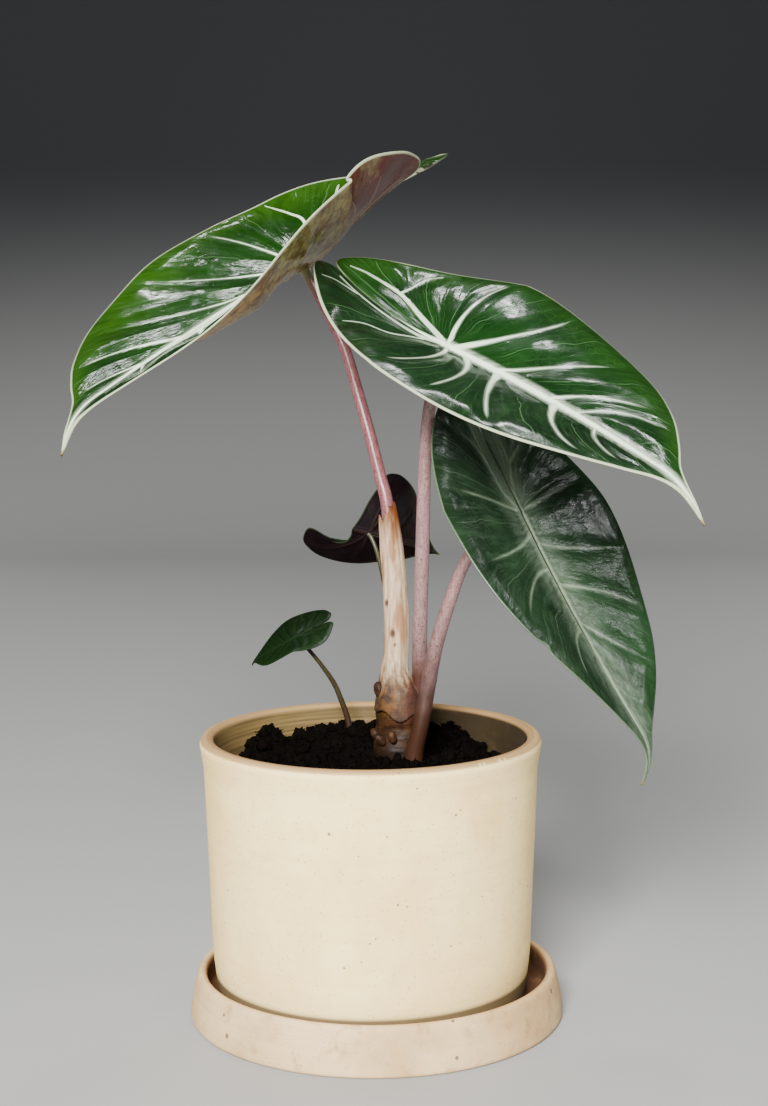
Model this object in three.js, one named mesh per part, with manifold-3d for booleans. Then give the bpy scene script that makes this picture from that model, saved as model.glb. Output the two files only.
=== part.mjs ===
// A potted alocasia: a stoneware pot on its saucer, soil, a corm and five leaves on their stalks.
// Millimetres, +Z up. The origin is the centre of the saucer's underside, and -Y is the front.

import * as THREE from "three";
import { mergeVertices } from "three/addons/utils/BufferGeometryUtils.js";
import Module from "manifold-3d";

const wasm = await Module();
wasm.setup();

// Driving dimensions

const fitGap = 0.3; // clearance between pieces that touch
const bladeSeatGap = 0.45; // measured off the blade's corners, so that its flats keep fitGap
const turnedSides = 56; // facets round the pot and the saucer

const saucerFloor = 6;
const potCentre = new THREE.Vector2(-2, 1); // the pot stands a little off the saucer's centre
const potFoot = saucerFloor + fitGap;
const potFloor = 14;
const potRimHeight = 125;
const drainRadius = 7;

const soilTop = 106; // soil height along the wall
const soilRings = 14;
const soilSides = 44;

const cormCentre = new THREE.Vector2(10.5, 4);
const cormBottom = 98;
const cormTop = 147.5;
const cormSides = 22;

const bladeHalfThickness = 0.45;
const bladeColumns = [0, 0.1, 0.28, 0.48, 0.68, 0.86, 1]; // shares of the way to the margin
const smallBladeColumns = [0, 0.2, 0.5, 0.8, 1];
const midribSteps = 120;
const grownLobeReach = 0.6; // share of the front length at which the midline's back angles are met
const lobeKinkReach = 25;

// Turned profiles: radius and height, from the underside out, over the rim and back in.

const saucerProfile = [
  [0, 0],
  [81.6, 0],
  [82.5, 1.2],
  [82, 7],
  [80.4, 15],
  [79.4, 19],
  [78.4, 20.6],
  [77, 21],
  [75.6, 20.4],
  [74.9, 18.8],
  [75.6, 9],
  [73.6, saucerFloor],
  [0, saucerFloor],
];

const potInnerWall = [
  [68.5, 122.4],
  [68.2, 80],
  [67.4, 24],
  [61.5, potFloor],
];

const potProfile = [
  [drainRadius, potFoot],
  [65.8, potFoot],
  [67.8, 8.6],
  [68.8, 15],
  [70.4, 31],
  [71.2, 56],
  [72.4, 88],
  [73.3, 112],
  [74.3, 118.5],
  [75, 122],
  [74.3, 124.3],
  [72.6, potRimHeight],
  [70.4, potRimHeight],
  [69, 124.3],
  ...potInnerWall,
  [drainRadius, potFloor],
  [drainRadius, potFoot],
];

// One half of a full-grown blade, in shares of the length from stalk to tip. The edge runs from the
// tip round the lobe into the notch. A vein leaves the midrib at `from`, is pulled towards `bend`
// and meets the edge at `edge`, counted in edge points. `rib` is how far it stands proud, and `rows`
// is how many mesh rows lead to the next vein.

const grownLobeShare = 0.515;
const grownWidthShare = 0.395;
const grownBlade = {
  edge: [
    [1, 0],
    [0.955, 0.008],
    [0.9, 0.02],
    [0.84, 0.052],
    [0.77, 0.115],
    [0.66, 0.205],
    [0.52, 0.29],
    [0.36, 0.35],
    [0.2, 0.385],
    [0.04, 0.395],
    [-0.1, 0.38],
    [-0.23, 0.343],
    [-0.34, 0.287],
    [-0.43, 0.215],
    [-0.49, 0.135],
    [-0.515, 0.085],
    [-0.5, 0.045],
    [-0.45, 0.016],
    [-0.36, 0.008],
    [-0.26, 0.004],
    [-0.2, 0],
  ],
  veins: [
    { from: 1, bend: [1, 0], edge: 0, rib: 0, rows: 3 },
    { from: 0.86, bend: [0.885, 0.01], edge: 2.2, rib: 0, rows: 3 },
    { from: 0.6, bend: [0.68, 0.06], edge: 4.2, rib: 0.2, rows: 2 },
    { from: 0.4, bend: [0.5, 0.12], edge: 5.2, rib: 0.35, rows: 2 },
    { from: 0.2, bend: [0.32, 0.16], edge: 6.6, rib: 0.45, rows: 2 },
    { from: 0.07, bend: [0.17, 0.15], edge: 8, rib: 0.45, rows: 2 },
    { from: 0, bend: [-0.04, 0.19], edge: 10, rib: 0.45, rows: 2 },
    { from: 0, bend: [-0.13, 0.09], edge: 10.9, rib: 0.35, rows: 2 },
    { from: 0, bend: [-0.25, 0.1], edge: 12.2, rib: 0.35, rows: 3 },
    { from: 0, bend: [-0.27, 0.07], edge: 14.5, rib: 0.45, rows: 2 },
    { from: 0, bend: [-0.24, 0.025], edge: 16.5, rib: 0, rows: 3 },
    { from: 0, bend: [-0.1, 0], edge: 20, rib: 0, rows: 0 },
  ],
};

// The same with a narrower shoulder and its lobe drawn out into a thin tail.
const tailedBlade = {
  edge: [
    ...grownBlade.edge.slice(0, 7),
    [0.36, 0.336],
    [0.2, 0.37],
    [0.04, 0.361],
    [-0.1, 0.322],
    [-0.261, 0.226],
    [-0.403, 0.115],
    [-0.524, 0.046],
    [-0.6, 0.026],
    [-0.65, 0.018],
    [-0.594, 0.01],
    [-0.512, 0.008],
    [-0.391, 0.006],
    [-0.26, 0.004],
    [-0.2, 0],
  ],
  veins: grownBlade.veins,
};

// The same with shorter and narrower lobes that almost meet.
const shortLobedBlade = {
  edge: [
    ...grownBlade.edge.slice(0, 10),
    [-0.1, 0.35],
    [-0.23, 0.29],
    [-0.34, 0.226],
    [-0.42, 0.16],
    [-0.47, 0.105],
    [-0.49, 0.06],
    [-0.48, 0.024],
    [-0.45, 0.009],
    [-0.38, 0.006],
    [-0.27, 0.004],
    [-0.2, 0],
  ],
  veins: grownBlade.veins,
};

// The same with more rows where one half's edge is torn. Both halves of a blade share their rows.
const tornBlade = {
  edge: grownBlade.edge,
  veins: grownBlade.veins.map((vein) => (vein.from === 0.4 ? { ...vein, rows: 6 } : vein)),
};

const youngBlade = {
  edge: grownBlade.edge,
  veins: [
    { from: 1, bend: [1, 0], edge: 0, rib: 0, rows: 2 },
    { from: 0.8, bend: [0.83, 0.02], edge: 3, rib: 0, rows: 2 },
    { from: 0.4, bend: [0.5, 0.12], edge: 5.2, rib: 0.1, rows: 2 },
    { from: 0.1, bend: [0.2, 0.16], edge: 7.5, rib: 0.1, rows: 2 },
    { from: 0, bend: [-0.04, 0.19], edge: 10, rib: 0.1, rows: 2 },
    { from: 0, bend: [-0.27, 0.07], edge: 14.5, rib: 0.1, rows: 2 },
    { from: 0, bend: [-0.1, 0], edge: 20, rib: 0, rows: 0 },
  ],
};

// The dark leaf behind is still broad and opens into a wide notch, unlike on its two sides.

const darkBladeLower = {
  edge: [
    [1, 0],
    [0.9, 0.03],
    [0.7, 0.14],
    [0.52, 0.26],
    [0.24, 0.41],
    [-0.03, 0.56],
    [-0.27, 0.62],
    [-0.5, 0.6],
    [-0.66, 0.49],
    [-0.74, 0.35],
    [-0.7, 0.14],
    [-0.5, 0.19],
    [-0.37, 0.26],
    [-0.25, 0.22],
    [-0.2, 0.12],
    [-0.2, 0],
  ],
  veins: [
    { from: 1, bend: [1, 0], edge: 0, rib: 0, rows: 2 },
    { from: 0.7, bend: [0.75, 0.04], edge: 2, rib: 0, rows: 2 },
    { from: 0.3, bend: [0.36, 0.17], edge: 4, rib: 0.1, rows: 2 },
    { from: 0, bend: [-0.02, 0.3], edge: 5.4, rib: 0.1, rows: 2 },
    { from: 0, bend: [-0.2, 0.34], edge: 7.4, rib: 0.1, rows: 2 },
    { from: 0, bend: [-0.34, 0.4], edge: 9.6, rib: 0.1, rows: 3 },
    { from: 0, bend: [-0.2, 0.25], edge: 12, rib: 0, rows: 3 },
    { from: 0, bend: [-0.1, 0], edge: 15, rib: 0, rows: 0 },
  ],
};

const darkBladeUpper = {
  edge: [
    [1, 0],
    [0.88, 0.06],
    [0.71, 0.27],
    [0.52, 0.57],
    [0.43, 0.7],
    [0.33, 0.8],
    [0.19, 0.87],
    [0.05, 0.84],
    [-0.01, 0.65],
    [-0.09, 0.4],
    [-0.14, 0.18],
    [-0.2, 0],
  ],
  veins: [
    { from: 1, bend: [1, 0], edge: 0, rib: 0, rows: 2 },
    { from: 0.7, bend: [0.75, 0.06], edge: 1.6, rib: 0, rows: 2 },
    { from: 0.3, bend: [0.42, 0.25], edge: 3, rib: 0.1, rows: 2 },
    { from: 0, bend: [0.2, 0.4], edge: 5, rib: 0.1, rows: 2 },
    { from: 0, bend: [0.05, 0.45], edge: 6.8, rib: 0.1, rows: 2 },
    { from: 0, bend: [-0.03, 0.2], edge: 9, rib: 0, rows: 2 },
    { from: 0, bend: [-0.1, 0], edge: 11, rib: 0, rows: 0 },
  ],
};

// The leaves. `joint` is where the stalk meets the blade. `front` and `back` are the lengths from
// there to the drip tip and to the lobe tips, `broad` scales the width, and the angles are degrees.
// The midrib bends down by `droop` and, over its last fifth, by `tipDroop`, swings sideways by
// `swing` and `tipSwing`, and twists; the midline behind the stalk has its own three angles, and
// turns by `lobeKink` close behind the joint. Each half rises from the midrib at a fold angle and
// curls on by a curl angle, both given at the lobe tips, at the joint and at the drip tip. A half
// may sag in a belly along part of its length, or have a tear in its edge.

const leaves = {
  leaf_a: {
    joint: [-30.7, 30, 329.1],
    front: 179,
    back: 74.7,
    broad: 0.82,
    droop: -4.8,
    tipDroop: 36.1,
    lobeKink: -26.5,
    lobeLift: 25,
    swing: 15.3,
    tipSwing: 6.2,
    lobeSwing: 30,
    twist: 4.3,
    lobeTwist: -10,
    heading: 228.4,
    pitch: -23.2,
    roll: -7.4,
    left: {
      plan: grownBlade,
      width: 1,
      fold: [51.5, 20.2, 12.4],
      curl: [49, 72.4, 7.4],
      belly: { depth: 5.5, from: 0.14, to: 0.55 },
    },
    right: { plan: tailedBlade, width: 1, fold: [20.5, 16.7, 5.8], curl: [-10.5, 2.3, -15.8] },
    puff: 1.3,
    waves: 6,
    waveHeight: 0.9,
    midribRise: 1.1,
    columns: bladeColumns,
  },
  leaf_b: {
    joint: [30.8, -35, 292.6],
    front: 157,
    back: 83,
    broad: 0.825,
    droop: -4.8,
    tipDroop: 50.8,
    lobeKink: 0,
    lobeLift: -21.9,
    swing: -14.3,
    tipSwing: 7.1,
    lobeSwing: 5.8,
    twist: -1.8,
    lobeTwist: -16,
    heading: -45.4,
    pitch: -19.2,
    roll: 22.1,
    left: { plan: shortLobedBlade, width: 0.99, fold: [7, 33.9, 3.7], curl: [22.7, -54.8, -54.8] },
    right: { plan: shortLobedBlade, width: 0.92, fold: [22.2, 24.9, 6.3], curl: [-54.3, -19.4, -19.4] },
    puff: 1.2,
    waves: 5,
    waveHeight: 0.7,
    midribRise: 1.1,
    columns: bladeColumns,
  },
  leaf_c: {
    joint: [61.4, -22, 223.9],
    front: 129,
    back: 58,
    broad: 1.005,
    droop: -5.6,
    tipDroop: 59,
    lobeKink: 0,
    lobeLift: 7.6,
    swing: 5.3,
    tipSwing: -4.9,
    lobeSwing: 12.2,
    twist: -2,
    lobeTwist: -1.7,
    heading: -49.1,
    pitch: -54.7,
    roll: -11.2,
    left: { plan: tornBlade, width: 1, fold: [13.6, 11.5, 13.8], curl: [5.6, 5.6, 5.6] },
    right: {
      plan: tornBlade,
      width: 0.97,
      fold: [15.6, 5.8, 16.7],
      curl: [-19.2, -19.2, -19.2],
      tear: { edge: 6.13, reach: 0.2, depth: 0.026 },
    },
    puff: 1.1,
    waves: 5,
    waveHeight: 0.7,
    midribRise: 0.9,
    columns: bladeColumns,
  },
  leaf_d: {
    joint: [-2.9, 60, 206.9],
    front: 35,
    back: 20,
    broad: 1.05,
    droop: 6,
    tipDroop: 20,
    lobeKink: 0,
    lobeLift: 0,
    swing: 0,
    tipSwing: 0,
    lobeSwing: 0,
    twist: 0,
    lobeTwist: 0,
    heading: 0,
    pitch: -15,
    roll: -72,
    left: { plan: darkBladeLower, width: 1, fold: [4, 8, 8], curl: [20, 14, 10] },
    right: { plan: darkBladeUpper, width: 1, fold: [12, 14, 8], curl: [30, 24, 10] },
    puff: 0.5,
    waves: 4,
    waveHeight: 0.4,
    midribRise: 0.35,
    columns: smallBladeColumns,
  },
  leaf_e: {
    joint: [-35.9, 35, 161.8],
    front: 28,
    back: 20,
    broad: 1.15,
    droop: 10,
    tipDroop: 30,
    lobeKink: 0,
    lobeLift: 0,
    swing: -14,
    tipSwing: 0,
    lobeSwing: 4,
    twist: 0,
    lobeTwist: 0,
    heading: 165,
    pitch: -30,
    roll: -38,
    left: { plan: youngBlade, width: 1, fold: [-22, 4, 6], curl: [10, 20, 10] },
    right: { plan: youngBlade, width: 1, fold: [16, 18, 6], curl: [-20, -20, -10] },
    puff: 0.4,
    waves: 3,
    waveHeight: 0.4,
    midribRise: 0.3,
    columns: smallBladeColumns,
  },
};

// Stalks, from their foot up to the blade: x, y, z and radius of points along each.

const stalks = {
  petiole_a: [
    [9.8, 4.8, 130, 3.4],
    [9.2, 5, 139, 3.6],
    [8.6, 6, 151, 3.8],
    [9.7, 7, 165, 3.9],
    [9.2, 9, 187, 3.6],
    [7.4, 12, 209, 3.1],
    [5.6, 14, 226, 2.9],
    [2.8, 16, 237, 2.8],
    [-1.9, 19, 256, 2.7],
    [-6.9, 22, 274, 2.6],
    [-12.1, 24, 292, 2.5],
    [-17.8, 26, 304.5, 2.5],
    [-25.6, 28.6, 320, 2.6],
    [-30.7, 30, 329.1, 2.8],
  ],
  petiole_b: [
    [18, 5.5, 132, 3.2],
    [19.8, 4, 145, 3.5],
    [19.8, 2, 156, 3.4],
    [19.8, -2, 172, 3.2],
    [20.7, -10, 203, 3],
    [21.8, -22, 247, 2.8],
    [23.8, -29, 270, 2.6],
    [27.6, -33.4, 284, 2.6],
    [30.8, -35, 292.6, 2.8],
  ],
  petiole_c: [
    [16.4, -4, 106, 3.3],
    [17.2, -6, 118, 3.5],
    [19.6, -8, 129, 3.6],
    [23.1, -9, 148, 3.4],
    [26.6, -12, 166, 3.1],
    [32.5, -15, 186, 2.8],
    [39.4, -18, 203.5, 2.5],
    [50, -20.6, 216, 2.4],
    [61.4, -22, 223.9, 2.6],
  ],
  petiole_d: [
    [10.3, 11, 135, 1.7],
    [10.2, 13.4, 141, 1.7],
    [9.2, 18, 148, 1.5],
    [7.6, 30, 163, 1.3],
    [4.8, 46, 183, 1.1],
    [1.6, 56, 197, 1],
    [-1.2, 59.4, 204.4, 1],
    [-2.9, 60, 206.9, 1.1],
  ],
  petiole_e: [
    [-10.6, 46, 108, 1.4],
    [-12.8, 45, 122, 1.4],
    [-15.9, 43, 132, 1.3],
    [-19.1, 41, 140, 1.2],
    [-24.7, 38, 149, 1],
    [-30.3, 36, 156.4, 0.9],
    [-34, 35.2, 160.4, 0.9],
    [-35.9, 35, 161.8, 1],
  ],
};
const stalkSides = { petiole_a: 12, petiole_b: 12, petiole_c: 12, petiole_d: 8, petiole_e: 8 };
const stalkStepLength = 9;

// The dry sheath round the foot of petiole_a: heights and outer radii along it.

const sheathWall = 0.9;
const sheathSides = 16;
const sheathSteps = 10;
const sheathBottom = cormTop + fitGap;
const sheathTop = 226;
const sheathRadii = [4.9, 5.3, 5.6, 5.4, 5.1, 5.2, 4.9, 4.2];

// Colours and surfaces

const looks = {
  saucer: { color: 0xcdb99a, roughness: 0.75 },
  pot: { color: 0xeee3c8, roughness: 0.7 },
  soil: { color: 0x1d130d, roughness: 1 },
  corm: { color: 0x8a5a48, roughness: 0.8 },
  sheath: { color: 0xd9bf94, roughness: 0.85 },
  stalk: { color: 0xb98790, roughness: 0.45 },
  blade: { color: 0x2c5e2a, roughness: 0.3 },
  darkBlade: { color: 0x33161c, roughness: 0.4 },
};

// General helpers

const radians = THREE.MathUtils.degToRad;
const mix = THREE.MathUtils.lerp;

function smooth(x) {
  const t = THREE.MathUtils.clamp(x, 0, 1);
  return t * t * (3 - 2 * t);
}

// A repeatable draw of numbers from 0 to 1.
function seededDraw(seed) {
  let state = seed;
  return () => {
    state = (state * 16807) % 2147483647;
    return state / 2147483647;
  };
}

// Makes a closed solid from points and triangles, without the triangles that merging flattens.
function solidFrom(points, triangles) {
  const loose = new THREE.BufferGeometry();
  loose.setAttribute("position", new THREE.Float32BufferAttribute(points.flat(), 3));
  loose.setIndex(triangles.flat());
  const merged = mergeVertices(loose, 1e-3);
  const kept = [];
  for (let i = 0; i < merged.index.count; i += 3) {
    const corners = [0, 1, 2].map((k) => merged.index.getX(i + k));
    if (new Set(corners).size === 3) kept.push(...corners);
  }
  const build = (order) =>
    new wasm.Manifold(
      new wasm.Mesh({
        numProp: 3,
        vertProperties: merged.attributes.position.array,
        triVerts: new Uint32Array(order),
      }),
    );
  const made = build(kept);
  return made.volume() > 0 ? made : build(kept.reverse());
}

function solidOfGeometry(geometry) {
  const position = geometry.getAttribute("position");
  const points = [];
  for (let i = 0; i < position.count; i++) {
    points.push([position.getX(i), position.getY(i), position.getZ(i)]);
  }
  const triangles = [];
  for (let i = 0; i < geometry.index.count; i += 3) {
    triangles.push([0, 1, 2].map((k) => geometry.index.getX(i + k)));
  }
  return solidFrom(points, triangles);
}

function largestBody(solid) {
  const bodies = solid.decompose();
  return bodies.reduce((best, body) => (body.volume() > best.volume() ? body : best));
}

function meshOf(name, solid, look) {
  const data = solid.getMesh();
  const geometry = new THREE.BufferGeometry();
  geometry.setAttribute("position", new THREE.BufferAttribute(data.vertProperties, 3));
  geometry.setIndex(new THREE.BufferAttribute(data.triVerts, 1));
  const flat = geometry.toNonIndexed();
  flat.computeVertexNormals();
  const material = new THREE.MeshStandardMaterial({ ...look, metalness: 0 });
  const mesh = new THREE.Mesh(flat, material);
  mesh.name = name;
  return mesh;
}

function turned(profile, centre = new THREE.Vector2(0, 0)) {
  const outline = profile.map(([radius, height]) => new THREE.Vector2(radius, height));
  const geometry = new THREE.LatheGeometry(outline, turnedSides);
  geometry.rotateX(Math.PI / 2);
  geometry.translate(centre.x, centre.y, 0);
  return solidOfGeometry(geometry);
}

// Joins rings with equal counts of points into one closed body. Loops close on themselves and
// have no end caps.
function loft(rings, isLoop = false) {
  const count = rings[0].length;
  const points = rings.flat();
  const triangles = [];
  const lastJoin = isLoop ? rings.length : rings.length - 1;
  for (let i = 0; i < lastJoin; i++) {
    const lower = i * count;
    const upper = ((i + 1) % rings.length) * count;
    for (let j = 0; j < count; j++) {
      const k = (j + 1) % count;
      triangles.push([lower + j, lower + k, upper + k], [lower + j, upper + k, upper + j]);
    }
  }
  if (!isLoop) {
    const middle = (ring) => [0, 1, 2].map((a) => ring.reduce((sum, p) => sum + p[a], 0) / count);
    const bottom = points.push(middle(rings[0])) - 1;
    const top = points.push(middle(rings[rings.length - 1])) - 1;
    const last = (rings.length - 1) * count;
    for (let j = 0; j < count; j++) {
      const k = (j + 1) % count;
      triangles.push([bottom, k, j], [top, last + j, last + k]);
    }
  }
  return solidFrom(points, triangles);
}

// Stalks and the sheath

function stalkCurve(name) {
  return new THREE.CatmullRomCurve3(stalks[name].map(([x, y, z]) => new THREE.Vector3(x, y, z)));
}

function radiusAlong(radii, share) {
  const place = share * (radii.length - 1);
  const first = Math.min(Math.floor(place), radii.length - 2);
  return mix(radii[first], radii[first + 1], place - first);
}

// Points of one round section of a curve, with its axes from the steady direction of the front.
function sectionRing(curve, share, radius, sides) {
  const centre = curve.getPoint(share);
  const along = curve.getTangent(share);
  const across = new THREE.Vector3(1, 0, 0).projectOnPlane(along).normalize();
  const third = new THREE.Vector3().crossVectors(along, across);
  const ring = [];
  for (let j = 0; j < sides; j++) {
    const angle = (2 * Math.PI * j) / sides;
    const point = centre
      .clone()
      .addScaledVector(across, radius(angle) * Math.cos(angle))
      .addScaledVector(third, radius(angle) * Math.sin(angle));
    ring.push(point.toArray());
  }
  return ring;
}

function stalk(name, grow = 0) {
  const curve = stalkCurve(name);
  const radii = stalks[name].map((point) => point[3]);
  const steps = Math.round(curve.getLength() / stalkStepLength);
  const rings = [];
  for (let i = 0; i <= steps; i++) {
    const share = i / steps;
    const radius = radiusAlong(radii, share) + grow;
    rings.push(sectionRing(curve, share, () => radius, stalkSides[name]));
  }
  return loft(rings);
}

// The share of a stalk's curve at a given height.
function shareAtHeight(curve, height) {
  let low = 0;
  let high = 1;
  for (let i = 0; i < 40; i++) {
    const middle = (low + high) / 2;
    if (curve.getPoint(middle).z < height) low = middle;
    else high = middle;
  }
  return low;
}

// The sheath's top is torn: highest at its back right, with a tongue at its left.
function sheathTopHeight(angle) {
  const slant = 3 * Math.cos(angle - 0.6);
  const tongue = 5 * Math.exp(-(((angle - Math.PI) / 0.5) ** 2));
  return sheathTop - 5 + slant + tongue;
}

function sheath() {
  const curve = stalkCurve("petiole_a");
  const wallRings = (inset, order) =>
    order.map((step) => {
      const ring = [];
      for (let j = 0; j < sheathSides; j++) {
        const angle = (2 * Math.PI * j) / sheathSides;
        const height = mix(sheathBottom, sheathTopHeight(angle), step / sheathSteps);
        const radius = radiusAlong(sheathRadii, step / sheathSteps) - inset;
        const share = shareAtHeight(curve, height);
        ring.push(sectionRing(curve, share, () => radius, sheathSides)[j]);
      }
      return ring;
    });
  const upwards = Array.from({ length: sheathSteps + 1 }, (_, i) => i);
  const outside = wallRings(0, upwards);
  const inside = wallRings(sheathWall, upwards.slice().reverse());
  const wall = loft([...outside, ...inside], true);
  return wall.subtract(stalk("petiole_a", fitGap));
}

// Blades

// Points of a smooth curve through the edge points, at a place counted in points.
function edgePoint(edge, place) {
  const i = Math.min(Math.floor(place), edge.length - 2);
  const t = place - i;
  const at = (k) => {
    if (k < 0) return [2 * edge[0][0] - edge[1][0], 2 * edge[0][1] - edge[1][1]];
    if (k < edge.length) return edge[k];
    const [last, before] = [edge[edge.length - 1], edge[edge.length - 2]];
    return [2 * last[0] - before[0], 2 * last[1] - before[1]];
  };
  const [p0, p1, p2, p3] = [at(i - 1), at(i), at(i + 1), at(i + 2)];
  return [0, 1].map(
    (a) =>
      0.5 *
      (2 * p1[a] +
        (p2[a] - p0[a]) * t +
        (2 * p0[a] - 5 * p1[a] + 4 * p2[a] - p3[a]) * t ** 2 +
        (3 * p1[a] - p0[a] - 3 * p2[a] + p3[a]) * t ** 3),
  );
}

// Rows of a half blade from the tip to the notch: veins, and rows spaced evenly between them.
function bladeRows(plan) {
  const rows = [];
  plan.veins.forEach((vein, i) => {
    const next = plan.veins[i + 1];
    if (!next) {
      rows.push({ ...vein, between: 0 });
      return;
    }
    for (let k = 0; k < vein.rows; k++) {
      const t = k / vein.rows;
      rows.push({
        from: mix(vein.from, next.from, t),
        bend: [mix(vein.bend[0], next.bend[0], t), mix(vein.bend[1], next.bend[1], t)],
        edge: mix(vein.edge, next.edge, t),
        rib: k === 0 ? vein.rib : 0,
        between: t,
      });
    }
  });
  return rows;
}

// A point of a row in the flat blade: a curve from the midrib, pulled to the bend, to the edge.
function flatPoint({ plan, tear }, row, share) {
  const end = edgePoint(plan.edge, row.edge);
  if (tear) end[1] -= tear.depth * Math.max(0, 1 - Math.abs(row.edge - tear.edge) / tear.reach);
  const start = [row.from, 0];
  return [0, 1].map(
    (a) =>
      (1 - share) ** 2 * start[a] + 2 * share * (1 - share) * row.bend[a] + share ** 2 * end[a],
  );
}

// The midrib as points with their own side and up directions, walked both ways from the joint.
function walkMidrib(leaf) {
  const walk = (sign, length) => {
    const stations = [];
    const point = new THREE.Vector3();
    let before = null;
    for (let i = 0; i <= midribSteps; i++) {
      const f = i / midribSteps;
      const late = smooth((f - 0.8) / 0.2);
      const back = (f * length) / (grownLobeReach * leaf.front);
      const kinked = radians(leaf.lobeKink) * smooth((f * length) / lobeKinkReach);
      const rise =
        sign > 0
          ? -radians(leaf.droop) * f - radians(leaf.tipDroop) * late
          : radians(leaf.lobeLift) * back + kinked;
      const turn =
        sign > 0 ? radians(leaf.swing) * f + radians(leaf.tipSwing) * late : -radians(leaf.lobeSwing) * back;
      const twist = sign > 0 ? radians(leaf.twist) * f : radians(leaf.lobeTwist) * back;
      const ahead = new THREE.Vector3(
        Math.cos(rise) * Math.cos(turn),
        Math.cos(rise) * Math.sin(turn),
        Math.sin(rise),
      );
      const above = new THREE.Vector3(
        -Math.sin(rise) * Math.cos(turn),
        -Math.sin(rise) * Math.sin(turn),
        Math.cos(rise),
      );
      const beside = new THREE.Vector3().crossVectors(above, ahead);
      if (before) {
        const step = before.clone().add(ahead).multiplyScalar((sign * length) / midribSteps / 2);
        point.add(step);
      }
      before = ahead;
      const side = beside.clone().multiplyScalar(Math.cos(twist));
      side.addScaledVector(above, Math.sin(twist));
      const up = above.clone().multiplyScalar(Math.cos(twist));
      up.addScaledVector(beside, -Math.sin(twist));
      stations.push({ at: sign * f * length, point: point.clone(), side, up });
    }
    return stations;
  };
  const lobes = walk(-1, 2 * grownLobeReach * leaf.front);
  const front = walk(1, leaf.front);
  return [...lobes.reverse(), ...front.slice(1)];
}

function stationAt(stations, place) {
  let low = 0;
  let high = stations.length - 1;
  while (high - low > 1) {
    const middle = Math.floor((low + high) / 2);
    if (stations[middle].at > place) high = middle;
    else low = middle;
  }
  const [a, b] = [stations[low], stations[high]];
  const t = THREE.MathUtils.clamp((place - a.at) / (b.at - a.at), 0, 1);
  return {
    point: a.point.clone().lerp(b.point, t),
    side: a.side.clone().lerp(b.side, t),
    up: a.up.clone().lerp(b.up, t),
  };
}

// An angle given at the lobe tips, the joint and the drip tip, at a share of the blade's front.
function angleAt([lobe, joint, tip], share) {
  if (share >= 0) return radians(mix(joint, tip, Math.min(share, 1)));
  return radians(mix(joint, lobe, Math.min(-share / grownLobeShare, 1)));
}

// How far a half hangs below its even arc.
function sag(belly, alongShare, share) {
  const t = THREE.MathUtils.clamp((alongShare - belly.from) / (belly.to - belly.from), 0, 1);
  return belly.depth * Math.sin(Math.PI * t) * Math.sin(Math.PI * share);
}

// A blade's middle surface with a thickness at each point, as points and triangles.
function bladeSheet(leaf) {
  const stations = walkMidrib(leaf);
  const turn = new THREE.Matrix4()
    .makeRotationZ(radians(leaf.heading))
    .multiply(new THREE.Matrix4().makeRotationY(-radians(leaf.pitch)))
    .multiply(new THREE.Matrix4().makeRotationX(radians(leaf.roll)));
  const lobeScale = leaf.back / (grownLobeShare * leaf.front);
  const points = [];
  const halfThickness = [];
  const known = new Map();
  const triangles = [];

  const addPoint = (half, sign, row, rowShare, share) => {
    const [alongShare, acrossShare] = flatPoint(half, row, share);
    const along = alongShare * leaf.front * (alongShare < 0 ? lobeScale : 1);
    const across = Math.max(acrossShare, 0) * leaf.broad * half.width * leaf.front;
    const station = stationAt(stations, along);
    const fold = angleAt(half.fold, along / leaf.front);
    const curl = angleAt(half.curl, along / leaf.front) / (grownWidthShare * leaf.front) || 1e-9;
    const bentBy = curl * across;
    const out = (Math.sin(fold + bentBy) - Math.sin(fold)) / curl;
    const rise = (Math.cos(fold) - Math.cos(fold + bentBy)) / curl;
    const puffed = leaf.puff * Math.sin(Math.PI * row.between) ** 2 * Math.sin(Math.PI * share);
    const sagged = half.belly ? sag(half.belly, alongShare, share) : 0;
    const waved =
      leaf.waveHeight * Math.sin(2 * Math.PI * leaf.waves * rowShare) * share ** 3 *
      Math.sin(Math.PI * rowShare);
    const place = station.point
      .clone()
      .addScaledVector(station.side, sign * out)
      .addScaledVector(station.up, rise + puffed + waved - sagged)
      .applyMatrix4(turn)
      .add(new THREE.Vector3(...leaf.joint));
    const key = place.toArray().map((value) => value.toFixed(3)).join();
    if (known.has(key)) return known.get(key);
    const taper = 1 - 0.75 * Math.max(alongShare, 0);
    const midrib = share === 0 ? leaf.midribRise * taper : 0;
    const lateral = share > 0 && share < 1 ? row.rib * (1 - share) : 0;
    known.set(key, points.length);
    points.push(place);
    halfThickness.push(bladeHalfThickness + midrib + lateral);
    return points.length - 1;
  };

  [[leaf.left, 1], [leaf.right, -1]].forEach(([half, sign]) => {
    const lastEdge = half.plan.edge.length - 1;
    const grid = bladeRows(half.plan).map((row) =>
      leaf.columns.map((share) => addPoint(half, sign, row, row.edge / lastEdge, share)),
    );
    for (let i = 0; i + 1 < grid.length; i++) {
      for (let j = 0; j + 1 < leaf.columns.length; j++) {
        const [a, b, c, d] = [grid[i][j], grid[i][j + 1], grid[i + 1][j + 1], grid[i + 1][j]];
        const pair = [[a, b, c], [a, c, d]];
        pair.forEach(([p, q, r]) => {
          if (p === q || q === r || p === r) return;
          triangles.push(sign > 0 ? [p, q, r] : [p, r, q]);
        });
      }
    }
  });
  return { points, halfThickness, triangles };
}

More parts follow.
